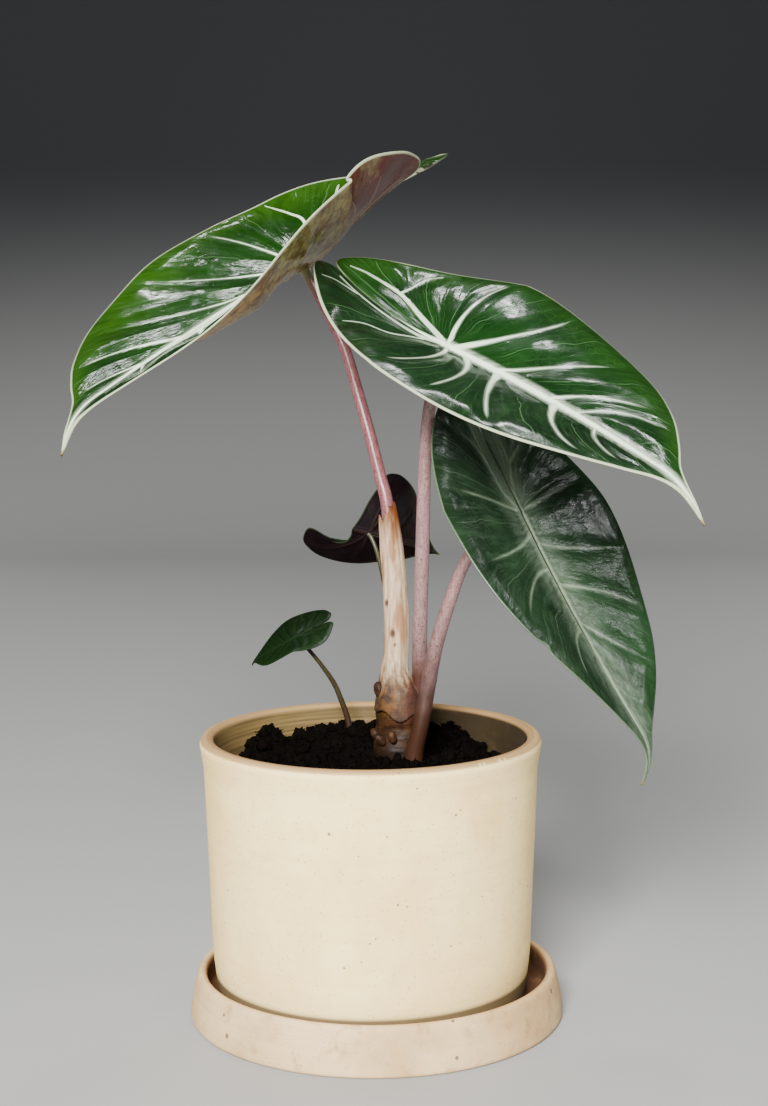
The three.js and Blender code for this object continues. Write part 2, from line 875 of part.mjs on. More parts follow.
// Thickens a sheet both ways along its normals, with the same triangles on both faces.
function thicken({ points, halfThickness, triangles }, grow = 0) {
  const normals = points.map(() => new THREE.Vector3());
  const uses = new Map();
  triangles.forEach(([a, b, c]) => {
    const edgeOne = points[b].clone().sub(points[a]);
    const edgeTwo = points[c].clone().sub(points[a]);
    const normal = edgeOne.cross(edgeTwo);
    [a, b, c].forEach((corner) => normals[corner].add(normal));
    [[a, b], [b, c], [c, a]].forEach(([from, to]) => {
      const key = Math.min(from, to) + "_" + Math.max(from, to);
      const found = uses.get(key);
      if (found) found.count += 1;
      else uses.set(key, { from, to, count: 1 });
    });
  });
  const count = points.length;
  const skin = [];
  [1, -1].forEach((sign) =>
    points.forEach((point, i) => {
      const offset = sign * (halfThickness[i] + grow);
      skin.push(point.clone().addScaledVector(normals[i].clone().normalize(), offset).toArray());
    }),
  );
  const faces = [];
  triangles.forEach(([a, b, c]) => faces.push([a, b, c], [count + a, count + c, count + b]));
  uses.forEach(({ from, to, count: used }) => {
    if (used === 1) faces.push([from, count + to, to], [from, count + from, count + to]);
  });
  return solidFrom(skin, faces);
}

// Soil and corm

// The soil lies low along the wall at the front and is heaped round the corm and towards the back.
const soilMounds = [
  { x: 10, y: 6, spreadX: 24, spreadY: 24, height: 9 },
  { x: -8, y: 50, spreadX: 26, spreadY: 24, height: 12 },
];
const largeClods = [
  { x: -50, y: 36, radius: 12, height: 11 },
  { x: 28, y: 46, radius: 13, height: 6 },
  { x: 39, y: 42, radius: 11, height: 7 },
];
const smallClodCount = 70;
const smallClodReach = 62;

function soilHeight(x, y, clods) {
  const heaped = soilMounds.map((mound) => {
    const awayX = (x - mound.x) / mound.spreadX;
    const awayY = (y - mound.y) / mound.spreadY;
    return mound.height * Math.exp(-(awayX ** 2 + awayY ** 2) / 2);
  });
  let height = soilTop + Math.hypot(...heaped);
  clods.forEach((clod) => {
    const away = Math.hypot(x - clod.x, y - clod.y) / clod.radius;
    if (away < 1) height += clod.height * (1 - away ** 2);
  });
  return height;
}

function soilClods() {
  const draw = seededDraw(41);
  const clods = [...largeClods];
  for (let i = 0; i < smallClodCount; i++) {
    const angle = 2 * Math.PI * draw();
    const reach = smallClodReach * Math.sqrt(draw());
    clods.push({
      x: reach * Math.cos(angle),
      y: reach * Math.sin(angle),
      radius: 5 + 6 * draw(),
      height: 0.8 + 2.2 * draw(),
    });
  }
  return clods;
}

function soil() {
  const clods = soilClods();
  const wallRadius = potInnerWall[1][0] - fitGap;
  const ringAt = (radius, heightAt) => {
    const ring = [];
    for (let j = 0; j < soilSides; j++) {
      const angle = (2 * Math.PI * j) / soilSides;
      const x = potCentre.x + radius * Math.cos(angle);
      const y = potCentre.y + radius * Math.sin(angle);
      ring.push([x, y, heightAt(x, y)]);
    }
    return ring;
  };
  const facetInset = Math.cos(Math.PI / turnedSides); // keeps the corners inside the pot's facets
  const [, , foot, floor] = potInnerWall;
  const rings = [
    ringAt((floor[0] - fitGap) * facetInset, () => potFloor + fitGap),
    ringAt((foot[0] - fitGap) * facetInset, () => foot[1] + fitGap),
  ];
  for (let i = soilRings; i > 0; i--) {
    const radius = (wallRadius * facetInset * i) / soilRings;
    rings.push(ringAt(radius, (x, y) => soilHeight(x, y, clods)));
  }
  return loft(rings);
}

const cormSteps = 14;
const cormRadii = [9.5, 10.8, 11, 11.4, 11.6, 10.6, 9.8, 10.2, 9.2, 8.2, 6];

// The corm: a short column with ringed scars, rounder and lumpier above the soil.
function cormBody(grow = 0) {
  const rings = [];
  for (let i = 0; i <= cormSteps; i++) {
    const share = i / cormSteps;
    const height = mix(cormBottom - grow, cormTop + grow, share);
    const plain = radiusAlong(cormRadii, share);
    const lumpy = smooth((share - 0.4) / 0.15);
    const ring = [];
    for (let j = 0; j < cormSides; j++) {
      const angle = (2 * Math.PI * j) / cormSides;
      const lump = 0.7 * Math.sin(3 * angle + 5 * share) + 0.4 * Math.sin(7 * angle - 9 * share);
      const scar = i % 2 === 0 ? 0.35 : -0.25;
      const radius = plain + lumpy * (lump + scar) + grow;
      ring.push([
        cormCentre.x + radius * Math.cos(angle),
        cormCentre.y + 0.92 * radius * Math.sin(angle),
        height,
      ]);
    }
    rings.push(ring);
  }
  return loft(rings);
}

// A round lump drawn out along one direction: the side bud and the root stubs of the corm.
function lump(centre, radius, stretch, tilt) {
  const geometry = new THREE.SphereGeometry(radius, 10, 7);
  geometry.scale(1, 1, stretch);
  geometry.rotateY(radians(tilt));
  geometry.translate(...centre);
  return solidOfGeometry(geometry);
}

const budCentre = [2.2, 1.5, 144];
const budRadius = 2.6;
const budStretch = 1.5;
const budTilt = -20;
const rootStretch = 1.6;
const rootStubs = [
  { centre: [0.6, 0.5, 124.5], radius: 2.1, tilt: -50 },
  { centre: [2.4, -4.2, 123], radius: 2, tilt: -35 },
  { centre: [7.5, -6.4, 124.5], radius: 1.9, tilt: -15 },
];

// The corm with its side bud and root stubs, before the stalks' sockets are cut.
function cormOutside(grow = 0) {
  let body = cormBody(grow);
  body = body.add(lump(budCentre, budRadius + grow, budStretch, budTilt));
  rootStubs.forEach((stub) => {
    body = body.add(lump(stub.centre, stub.radius + grow, rootStretch, stub.tilt));
  });
  return body;
}

function corm() {
  let body = cormOutside();
  ["petiole_a", "petiole_b", "petiole_c", "petiole_d"].forEach((name) => {
    body = body.subtract(stalk(name, fitGap));
  });
  return largestBody(body);
}

// The assembly

const plant = new THREE.Group();

plant.add(meshOf("saucer", turned(saucerProfile), looks.saucer));
plant.add(meshOf("pot", turned(potProfile, potCentre), looks.pot));

const cormClearance = cormOutside(fitGap);
let soilSolid = soil().subtract(cormClearance);
["petiole_c", "petiole_e"].forEach((name) => {
  soilSolid = soilSolid.subtract(stalk(name, fitGap));
});
plant.add(meshOf("soil", largestBody(soilSolid), looks.soil));
plant.add(meshOf("corm", corm(), looks.corm));
plant.add(meshOf("sheath", largestBody(sheath().subtract(cormClearance)), looks.sheath));

Object.keys(leaves).forEach((leafName) => {
  const leaf = leaves[leafName];
  const stalkName = leafName.replace("leaf", "petiole");
  const sheet = bladeSheet(leaf);
  const blade = thicken(sheet);
  const seat = thicken(sheet, bladeSeatGap);
  const look = leafName === "leaf_d" ? looks.darkBlade : looks.blade;
  plant.add(meshOf(leafName, blade, look));
  plant.add(meshOf(stalkName, largestBody(stalk(stalkName).subtract(seat)), looks.stalk));
});

export default plant;
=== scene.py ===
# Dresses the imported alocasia: fine meshes and materials for the plant, its soil, its pot and its
# saucer. Blender works in metres, and the shapes below are in the model's own millimetres.

import math
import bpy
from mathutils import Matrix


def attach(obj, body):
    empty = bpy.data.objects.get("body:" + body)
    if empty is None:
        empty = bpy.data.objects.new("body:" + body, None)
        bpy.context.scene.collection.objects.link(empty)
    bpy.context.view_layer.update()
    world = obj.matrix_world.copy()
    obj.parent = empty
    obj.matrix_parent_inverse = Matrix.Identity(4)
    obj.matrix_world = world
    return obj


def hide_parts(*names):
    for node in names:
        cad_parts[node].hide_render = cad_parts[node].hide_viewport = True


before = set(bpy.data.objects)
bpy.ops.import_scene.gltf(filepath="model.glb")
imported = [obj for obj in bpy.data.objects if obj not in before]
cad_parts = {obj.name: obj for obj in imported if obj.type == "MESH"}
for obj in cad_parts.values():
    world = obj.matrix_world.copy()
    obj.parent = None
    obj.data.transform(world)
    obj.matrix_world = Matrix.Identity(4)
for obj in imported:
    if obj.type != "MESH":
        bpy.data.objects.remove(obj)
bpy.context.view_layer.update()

from types import SimpleNamespace

import bpy
import numpy as np
from mathutils import Matrix, Vector

MM = 0.001

# Number helpers


def smooth(x):
    t = np.clip(x, 0.0, 1.0)
    return t * t * (3.0 - 2.0 * t)


def bell(distance, width):
    return np.exp(-((distance / width) ** 2))


def unit(vectors):
    return vectors / np.maximum(np.linalg.norm(vectors, axis=-1, keepdims=True), 1e-12)


def hashed(i, j, k, seed):
    """A fixed number from 0 to 1 for each whole-numbered place."""
    n = (i * 73856093) ^ (j * 19349663) ^ (k * 83492791) ^ (seed * 26544357)
    n = ((n ^ (n >> 13)) * 1274126177) & 0xFFFFFFFF
    n = ((n ^ (n >> 15)) * 2246822519) & 0xFFFFFFFF
    return ((n ^ (n >> 16)) & 0xFFFF) / 65535.0


def noise(points, size, seed=0, octaves=1):
    """Smooth noise from -1 to 1 at points, with lumps of that size and finer ones at half strength."""
    total = np.zeros(len(points))
    strength, reach = 1.0, 0.0
    for octave in range(octaves):
        place = np.asarray(points) / size * 2**octave
        cell = np.floor(place).astype(np.int64)
        t = smooth(place - cell)
        value = np.zeros(len(place))
        for corner in np.ndindex(2, 2, 2):
            share = 1.0
            for k in range(3):
                share = share * (t[:, k] if corner[k] else 1 - t[:, k])
            value += share * hashed(*(cell + corner).T, seed + 17 * octave)
        total += strength * (2.0 * value - 1.0)
        reach += strength
        strength *= 0.5
    return total / reach


def curve_through(points, places):
    """Points of the smooth curve through points, at places counted in points."""
    p = np.asarray(points, float)
    p = np.vstack([2 * p[0] - p[1], p, 2 * p[-1] - p[-2]])
    i = np.clip(np.floor(places).astype(int), 0, len(points) - 2)
    t = (places - i)[:, None]
    a, b, c, d = (p[i + k] for k in range(4))
    return 0.5 * (
        2 * b + (c - a) * t + (2 * a - 5 * b + 4 * c - d) * t**2 + (3 * b - a - 3 * c + d) * t**3
    )


def even_curve(points, count):
    """The smooth curve through points, as count points spread evenly by point number."""
    return curve_through(points, np.linspace(0, len(points) - 1, count))


def distance_to_line(points, line):
    """For each point, the distance to a polyline."""
    nearest = np.full(len(points), 1e9)
    for start, along in zip(line[:-1], np.diff(line, axis=0)):
        t = np.clip(((points - start) @ along) / max((along**2).sum(), 1e-12), 0, 1)
        nearest = np.minimum(nearest, np.linalg.norm(points - start - t[:, None] * along, axis=1))
    return nearest


def angles_round(count):
    return 2 * np.pi * np.arange(count) / count


def stacked(*values):
    """Numbers and arrays of numbers side by side, one row to a point."""
    return np.stack(np.broadcast_arrays(*values), axis=-1)


# Mesh helpers


def add_object(name, data):
    piece = bpy.data.objects.new(name, data)
    bpy.context.scene.collection.objects.link(piece)
    return piece


def add_mesh(name, points, faces, material):
    """A smooth-shaded object from points in metres."""
    mesh = bpy.data.meshes.new(name)
    mesh.from_pydata(points, [], faces)
    mesh.validate()
    mesh.polygons.foreach_set("use_smooth", np.ones(len(mesh.polygons), dtype=bool))
    mesh.materials.append(material)
    return add_object(name, mesh)


def make_piece(name, points, faces, material, replaced, slot, values=None):
    """A piece of the part from points in millimetres, with named values at its points."""
    piece = add_mesh(name, (points * MM).tolist(), faces, material)
    for key, numbers in (values or {}).items():
        layer = piece.data.attributes.new(key, "FLOAT", "POINT")
        layer.data.foreach_set("value", np.asarray(numbers, dtype=np.float32))
    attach(piece, "root")
    if replaced:
        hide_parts(replaced)


def grid_faces(rows, columns, closed_rows=False):
    """Quads between closed rings of points: rows rings of columns points each."""
    faces = []
    for i in range(rows if closed_rows else rows - 1):
        low, high = i * columns, (i + 1) % rows * columns
        for j in range(columns):
            k = (j + 1) % columns
            faces.append((low + j, low + k, high + k, high + j))
    return faces


def capped_tube(rings):
    """Points and faces of a tube from rings of points, closed by a fan at each end."""
    rows, columns = len(rings), len(rings[0])
    points = np.vstack([*rings, rings[0].mean(0), rings[-1].mean(0)])
    faces = grid_faces(rows, columns)
    bottom, top = rows * columns, rows * columns + 1
    last = bottom - columns
    for j in range(columns):
        k = (j + 1) % columns
        faces += [(bottom, k, j), (top, last + j, last + k)]
    return points, faces


# Material helpers


def srgb(red, green, blue):
    """A colour given as it looks on a screen, 0 to 255, in Blender's linear values."""
    linear = []
    for part in (red, green, blue):
        c = part / 255.0
        linear.append(c / 12.92 if c <= 0.04045 else ((c + 0.055) / 1.055) ** 2.4)
    return (*linear, 1.0)


class Value:
    """A node's output. Plus, minus and times each add a math node."""

    def __init__(self, look, socket):
        self.look, self.socket = look, socket

    def __add__(self, other):
        return self.look.math("ADD", self, other)

    def __sub__(self, other):
        return self.look.math("SUBTRACT", self, other)

    def __rsub__(self, other):
        return self.look.math("SUBTRACT", other, self)

    def __mul__(self, other):
        return self.look.math("MULTIPLY", self, other)

    __radd__ = __add__


class Look:
    """A material that is built node by node. Its colours are red, green and blue, as for srgb."""

    def __init__(self, name, roughness, specular):
        self.material = bpy.data.materials.new(name)
        self.material.use_nodes = True
        self.nodes = self.material.node_tree.nodes
        self.shader = self.nodes["Principled BSDF"]
        self.shader.inputs["Roughness"].default_value = roughness
        self.shader.inputs["Specular IOR Level"].default_value = specular

    def feed(self, socket, value):
        if isinstance(value, Value):
            self.material.node_tree.links.new(value.socket, socket)
        elif value is not None:
            socket.default_value = value

    def add(self, kind, output, inputs, **settings):
        """The output of a new node, with its settings made and its inputs fed."""
        node = self.nodes.new("ShaderNode" + kind)
        for key, setting in settings.items():
            setattr(node, key, setting)
        for key, value in inputs.items():
            self.feed(node.inputs[key], value)
        return Value(self, node.outputs[output])

    def attribute(self, name):
        return self.add("Attribute", "Fac", {}, attribute_name=name)

    def place(self, scale=(1, 1, 1)):
        """The point's place on the object, in millimetres, stretched by scale."""
        here = self.add("TexCoord", "Object", {})
        return self.add("Mapping", "Vector", {"Vector": here, "Scale": [s / MM for s in scale]})

    def axis(self, letter):
        return self.add("SeparateXYZ", letter, {"Vector": self.place()})

    def combine(self, x, y):
        return self.add("CombineXYZ", "Vector", {0: x, 1: y})

    def noise(self, vector, size, detail=2.0, roughness=0.5):
        inputs = {"Vector": vector, "Scale": 1.0 / size, "Detail": detail, "Roughness": roughness}
        return self.add("TexNoise", "Fac", inputs)

    def cells(self, vector, size, feature="F1"):
        return self.add("TexVoronoi", "Distance", {"Vector": vector, "Scale": 1.0 / size}, feature=feature)

    def math(self, operation, a, b=None):
        return self.add("Math", "Value", {0: a, 1: b}, operation=operation)

    def span(self, value, low, high, to_low=0.0, to_high=1.0):
        """A smooth step of value between low and high."""
        inputs = dict(enumerate((value, low, high, to_low, to_high)))
        return self.add("MapRange", "Result", inputs, interpolation_type="SMOOTHSTEP")

    def blend(self, amount, first, second):
        first, second = (srgb(*paint) if isinstance(paint, tuple) else paint for paint in (first, second))
        return self.add("Mix", 2, {0: amount, 6: first, 7: second}, data_type="RGBA")

    def layers(self, colour, *coats):
        """The colour under coats of other colours, each given with its amount."""
        for amount, paint in coats:
            colour = self.blend(amount, colour, paint)
        return colour

    def marks(self, place, spots):
        """1 inside each spot, 0 outside: spots are ((x, y, z), radius) in millimetres."""
        found = 0.0
        for centre, radius in spots:
            away = self.add("VectorMath", "Value", {0: place, 1: centre}, operation="DISTANCE")
            found = self.math("MAXIMUM", found, self.span(away, 0.7 * radius, 1.15 * radius, 1, 0))
        return found

    def bump(self, height, distance, strength, under=None):
        """A normal raised by height, up to distance in millimetres, on the normal under it."""
        inputs = {"Height": height, "Distance": distance * MM, "Strength": strength, "Normal": under}
        return self.add("Bump", "Normal", inputs)

    def finish(self, colour, roughness=None, normal=None):
        self.feed(self.shader.inputs["Base Color"], colour)
        self.feed(self.shader.inputs["Roughness"], roughness)
        self.feed(self.shader.inputs["Normal"], normal)
        return self.material


# Camera, floor and lights

IMAGE_SIZE = (768, 1106)
FOCAL_PIXELS = 1920.0
CAMERA_PLACE = Vector((4.4, -828.0, 302.0)) * MM
CAMERA_PITCH = 0.117
CAMERA_ROLL = -0.006


def make_camera():
    data = bpy.data.cameras.new("camera")
    data.sensor_width = 36.0
    data.lens = FOCAL_PIXELS * data.sensor_width / max(IMAGE_SIZE)
    data.clip_end = 20.0
    camera = add_object("camera", data)
    forward = Vector((0, math.cos(CAMERA_PITCH), -math.sin(CAMERA_PITCH)))
    level = Vector((1, 0, 0))
    upright = level.cross(forward)
    right = level * math.cos(CAMERA_ROLL) + upright * math.sin(CAMERA_ROLL)
    up = upright * math.cos(CAMERA_ROLL) - level * math.sin(CAMERA_ROLL)
    turn = Matrix((right, up, -forward)).transposed().to_4x4()
    camera.matrix_world = Matrix.Translation(CAMERA_PLACE) @ turn
    bpy.context.scene.camera = camera


def make_floor():
    """A pale floor that curves up behind into a backdrop, painted darker with height as painted shade. Its
    sizes are in metres.
    """
    reach, bend, height, front, half_width, steps = 2.6, 0.9, 2.4, 9.0, 9.0, 16
    profile = [(-front, 0.0), (reach - bend, 0.0)]
    for i in range(1, steps + 1):
        angle = math.pi / 2 * i / steps
        profile.append((reach - bend + bend * math.sin(angle), bend - bend * math.cos(angle)))
    profile.append((reach, height))
    count = len(profile)
    points = [(x, y, z) for x in (-half_width, half_width) for y, z in profile]
    faces = [(i, count + i, count + i + 1, i + 1) for i in range(count - 1)]
    look = Look("floor", roughness=0.85, specular=0.1)
    # Painted shade: the backdrop darkens from pale grey to dark grey as it rises.
    colour = look.blend(look.span(look.axis("Z"), 20, 600), (150, 150, 148), (56, 57, 59))
    add_mesh("floor", points, faces, look.finish(colour))


def make_light(name, place, target, size, power, in_reflections=True):
    """An area light aimed at target. Places and sizes are in metres, power in watts."""
    data = bpy.data.lights.new(name, "AREA")
    data.shape = "RECTANGLE"
    data.size, data.size_y = size
    data.energy = power
    light = add_object(name, data)
    light.location = place
    light.visible_glossy = in_reflections
    aim = Vector(target) - Vector(place)
    light.rotation_euler = aim.to_track_quat("-Z", "Y").to_euler()


def make_lights():
    make_light("key", (-0.25, -1.5, 0.95), (0, 0, 0.14), (0.6, 0.5), 122)
    make_light("overhead_left", (-0.25, 0.66, 1.36), (-0.08, 0, 0.3), (0.05, 0.09), 1.6)
    make_light("overhead_right", (0.02, 0.34, 1.36), (0.08, -0.06, 0.28), (0.1, 0.1), 3.6)
    make_light("side", (1.15, 0.13, 1.12), (0, 0, 0.24), (0.11, 0.11), 2.0)
    for side in (-1, 1):
        make_light("back_fill", (1.5 * side, 1.4, 0.8), (0, 0, 0.2), (0.8, 0.8), 17, False)
    world = bpy.data.worlds.new("studio")
    world.use_nodes = True
    background = world.node_tree.nodes["Background"]
    background.inputs["Color"].default_value = (0.9, 0.95, 1.0, 1.0)
    background.inputs["Strength"].default_value = 0.07
    bpy.context.scene.world = world


# Pot and saucer

POT_CENTRE = np.array([-2.0, 1.0])
SAUCER_FLOOR = 6.0
DRAIN_RADIUS = 7.0
TURNED_SIDES = 200
WALL_MIDDLE = ([14, 24, 56, 88, 125], [66.5, 68.5, 69.5, 70.3, 71.8])
CORNER_CUT = 1.2
POT_LIP, POT_FOOT, POT_FLOOR = 122.8, 20.6, 13
SAUCER_LIP_RADIUS = 76.2
# Depths of the turning marks and of the wall's unevenness, in millimetres.
INSIDE_RINGS, OUTSIDE_RINGS, POT_UNEVEN = 0.22, 0.06, 0.12
SAUCER_RINGS, SAUCER_UNEVEN = 0.05, 0.12

SAUCER_PROFILE = [
    (0, 0), (81.6, 0), (82.5, 1.2), (82, 7), (80.4, 15), (79.4, 19), (78.4, 20.6), (77, 21),
    (75.6, 20.4), (74.9, 18.8), (75.6, 9), (73.6, SAUCER_FLOOR), (0, SAUCER_FLOOR),
]
POT_PROFILE = [
    (DRAIN_RADIUS, 6.3), (65.8, 6.3), (67.8, 8.6), (68.8, 15), (70.4, 31), (71.2, 56), (72.4, 88),
    (73.3, 112), (74.3, 118.5), (75, 122), (74.3, 124.3), (72.6, 125), (70.4, 125), (69, 124.3),
    (68.5, 122.4), (68.2, 80), (67.4, 24), (61.5, 14), (DRAIN_RADIUS, 14),
]


POT_DOTS = [
    ((-18.5, -69.9, 98.5), 0.75), ((33.1, -63, 104.3), 0.6), ((-12.9, -68.9, 42.1), 0.55),
    ((9.2, -69.8, 68.8), 0.55), ((31, -61.8, 48.9), 0.5), ((-2.3, -70.1, 52.7), 0.45),
    ((5, -71.4, 97.7), 0.4),
]
RIM_CHIPS = [
    ((43.2, -58.1, 123.9), 1.0), ((45, -56.6, 123.9), 0.9), ((51.8, -50.5, 123.9), 1.1),
    ((54, -48, 123.9), 0.8),
]
SAUCER_DOTS = [
    ((75.4, -26.5, 16.9), 1.2), ((31.4, -71.8, 20.6), 0.8), ((32.9, -75.2, 6.2), 0.9),
    ((-64.1, -48.5, 15.1), 0.8), ((-62.6, -52.8, 7.6), 1.2),
]


def rounded(profile, step, is_loop):
    """The profile with its corners rounded off and its long stretches divided."""
    p = [np.array(point, float) for point in profile]
    count = len(p)
    stops = []
    for i in range(count):
        if not is_loop and i in (0, count - 1):
            stops.append([p[i]])
            continue
        a, b = (
            p[i] + (near - p[i]) * min(CORNER_CUT / np.linalg.norm(near - p[i]), 0.45)
            for near in (p[i - 1], p[(i + 1) % count])
        )
        stops.append([
            (1 - t) ** 2 * a + 2 * t * (1 - t) * p[i] + t * t * b for t in (0, 0.25, 0.5, 0.75, 1)
        ])
    out = []
    for i in range(count):
        out += stops[i]
        if i + 1 < count or is_loop:
            start, end = stops[i][-1], stops[(i + 1) % count][0]
            pieces = int(np.linalg.norm(end - start) / step) + 1
            out += [start + (end - start) * k / pieces for k in range(1, pieces)]
    return np.array(out)


def turned(profile, centre, relief, on_axis):
    """Points and faces of a turned form. relief gives an outward shift for points."""
    ahead = np.roll(profile, -1, axis=0) - np.roll(profile, 1, axis=0)
    if on_axis:
        ahead[0], ahead[-1] = profile[1] - profile[0], profile[-1] - profile[-2]
    out = unit(stacked(ahead[:, 1], -ahead[:, 0]))
    angles = angles_round(TURNED_SIDES)

    def spun(pairs):
        radius = pairs[:, :1]
        return stacked(radius * np.cos(angles), radius * np.sin(angles), pairs[:, 1:]).reshape(-1, 3)

    points, normals = spun(profile), spun(out)
    points = points + normals * relief(points)[:, None]
    points[:, :2] += centre
    if on_axis:
        return capped_tube(points.reshape(len(profile), TURNED_SIDES, 3)[1:-1])
    return points, grid_faces(len(profile), TURNED_SIDES, closed_rows=True)


def throwing_rings(height, seed):
    """Faint grooves from the potter's fingers, at heights in millimetres."""
    line = stacked(0.0, 0.0, height)
    return 0.6 * noise(line, 5.0, seed) + 0.4 * noise(line, 2.0, seed + 5)


def stoneware(name, base, shade, speck_amount, inner, inner_shadow, mottle, dots, chips):
    """Unglazed stoneware with fine iron specks, faint rings and smudges, with painted shadow on the inside
    wall and at the pot's foot.
    """
    look = Look(name, roughness=0.75, specular=0.3)
    place, inside = look.place(), look.attribute("inside")
    cloud = look.noise(place, 45, detail=4, roughness=0.6)
    rings = look.noise(look.place((0.02, 0.02, 1)), 2.2, detail=3)
    turning = look.noise(look.place((0.03, 0.03, 1)), 1.5)
    # Painted shadow: the inside wall darkens towards +X, where the leaves above shade it, and the turning
    # streaks take the same shadow colour.
    wall = look.blend(look.span(look.axis("X"), -30, 50), inner, inner_shadow)
    wall = look.blend(look.span(turning, 0.42, 0.66, 0, 0.5), wall, inner_shadow)
    speck = look.span(look.cells(place, 1.5), 0.1, 0.24, 1, 0)
    speck = speck * look.span(look.noise(place, 1.7, detail=0), 0.52, 0.6)
    spot = look.span(look.cells(place, 9), 0.035, 0.055, 1, 0)
    smudge = look.noise(place, 9, detail=5, roughness=0.7)
    ragged = look.span(look.marks(place, chips) + look.noise(place, 0.8), 0.85, 1.15)
    colour = look.layers(
        base,
        (look.span(cloud, 0.35, 0.7), shade),
        (look.span(rings, 0.5, 0.75, 0, 0.35), shade),
        (inside, wall),
        (look.attribute("lip"), (150, 118, 76)),
        # Painted shadow: a dark band on the outer wall below the saucer's lip, where the pot meets the
        # saucer.
        (look.attribute("foot"), (58, 40, 22)),
        (speck * speck_amount * (1.0 - inside), (132, 104, 64)),
        (spot * speck_amount, (60, 48, 34)),
        (look.span(smudge, 0.5, 0.75, 0, mottle), (142, 108, 72)),
        (look.marks(place, dots) * 0.8, (84, 66, 44)),
        (ragged * 0.35, (250, 232, 196)),
    )
    normal = look.bump(look.noise(place, 0.5), 0.05, 0.35)
    normal = look.bump(look.noise(place, 4, detail=3), 0.12, 0.35, normal)
    normal = look.bump(ragged * -1.0, 0.5, 0.6, normal)
    return look.finish(colour, look.span(cloud, 0.3, 0.7, 0.62, 0.85), normal)


def make_pot():
    def relief(points):
        x, y, z = points.T
        radius = np.hypot(x, y)
        wall = smooth((z - 18) / 6) * smooth((122 - z) / 5) * (radius > 60)
        depth = np.where(radius < 69.5, INSIDE_RINGS, OUTSIDE_RINGS)
        rings = depth * throwing_rings(z + 0.6 * np.arctan2(y, x), 3)
        return wall * (rings + POT_UNEVEN * noise(points, 40, 8))

    points, faces = turned(rounded(POT_PROFILE, 1.4, True), POT_CENTRE, relief, False)
    radius, z = np.hypot(*(points[:, :2] - POT_CENTRE).T), points[:, 2]
    inside = smooth(0.5 + (np.interp(z, *WALL_MIDDLE) - radius) / 0.8)
    values = {
        "inside": inside * (z > POT_FLOOR),
        "lip": smooth((z - POT_LIP) / 1.2) * 0.9,
        # foot marks the painted shadow band on the outer wall below the saucer's lip.
        "foot": 0.9 * smooth(POT_FOOT - z) * (radius > 66),
    }
    # The fifth colour, (44, 34, 17), is the painted shadow on the inside wall.
    look = stoneware(
        "pot_clay", (252, 224, 158), (240, 206, 136), 0.8, (112, 92, 54), (44, 34, 17), 0.12,
        POT_DOTS, RIM_CHIPS,
    )
    make_piece("pot_body", points, faces, look, "pot", "pot", values)


def make_saucer():
    def relief(points):
        x, y, z = points.T
        wall = smooth((z - 1) / 3) * smooth((21.5 - z) / 2) * (np.hypot(x, y) > 72)
        return wall * (SAUCER_UNEVEN * noise(points, 30, 12) + SAUCER_RINGS * throwing_rings(z, 9))

    points, faces = turned(rounded(SAUCER_PROFILE, 1.5, False), np.zeros(2), relief, True)
    radius, z = np.hypot(points[:, 0], points[:, 1]), points[:, 2]
    values = {
        "inside": smooth((76.5 - radius) / 1.2) * (z > 5),
        "lip": 0.5 * bell(radius - SAUCER_LIP_RADIUS, 1.1) * (z > 19),
    }
    # The fifth colour, (84, 54, 32), is the painted shadow on the inside towards +X.
    look = stoneware(
        "saucer_clay", (212, 182, 136), (186, 152, 106), 0.6, (112, 74, 44), (84, 54, 32), 0.6,
        SAUCER_DOTS, [],
    )
    make_piece("saucer_body", points, faces, look, "saucer", "saucer", values)


# Soil

SOIL_TOP = 106.0
SOIL_WALL_RADIUS = 67.9
SOIL_SIDE = [(61.2, 14.3), (67.1, 24.3)]
SOIL_MOUNDS = [(10, 6, 24, 24, 9), (-8, 50, 26, 24, 12)]
LARGE_CLODS = [(-50, 36, 12, 11), (28, 46, 13, 6), (39, 42, 11, 7)]
CRUMBS, FIBRES, CRUMB_REACH = 3200, 260, 66


def soil_height(x, y):
    """The soil's height at places given as two arrays, with its mounds, clods and unevenness."""
    heaps = [
        h * np.exp(-(((x - cx) / sx) ** 2 + ((y - cy) / sy) ** 2) / 2) for cx, cy, sx, sy, h in SOIL_MOUNDS
    ]
    height = SOIL_TOP + np.sqrt(sum(heap**2 for heap in heaps))
    for cx, cy, radius, rise in LARGE_CLODS:
        away = np.hypot(x - cx, y - cy) / radius
        height = height + rise * np.clip(1 - away**2, 0, None)
    flat = stacked(x, y, 0.0)
    return height + 1.6 * noise(flat, 9, 21, 2) + 1.1 * noise(flat, 3.4, 22, 2)


def soil_look():
    look = Look("peat", roughness=0.95, specular=0.03)
    place = look.place()
    crumb = look.noise(place, 2.2, detail=6, roughness=0.7)
    patch = look.noise(place, 14, detail=3)
    colour = look.layers(
        (3, 2, 1),
        (look.span(crumb, 0.35, 0.7), (9, 6, 4)),
        (look.span(patch, 0.5, 0.75, 0, 0.6), (13, 9, 6)),
    )
    return look.finish(colour, None, look.bump(look.noise(place, 0.8, detail=4), 0.5, 0.7))


def make_soil():
    rings, sides = 84, 320
    angles = angles_round(sides)

    def ring(radius, height=None):
        x, y = POT_CENTRE[0] + radius * np.cos(angles), POT_CENTRE[1] + radius * np.sin(angles)
        return stacked(x, y, soil_height(x, y) if height is None else height)

    layers = [ring(radius, height) for radius, height in SOIL_SIDE]
    layers += [ring(SOIL_WALL_RADIUS * i / rings) for i in range(rings, 0, -1)]
    make_piece("soil_surface", *capped_tube(layers), soil_look(), "soil", "soil")


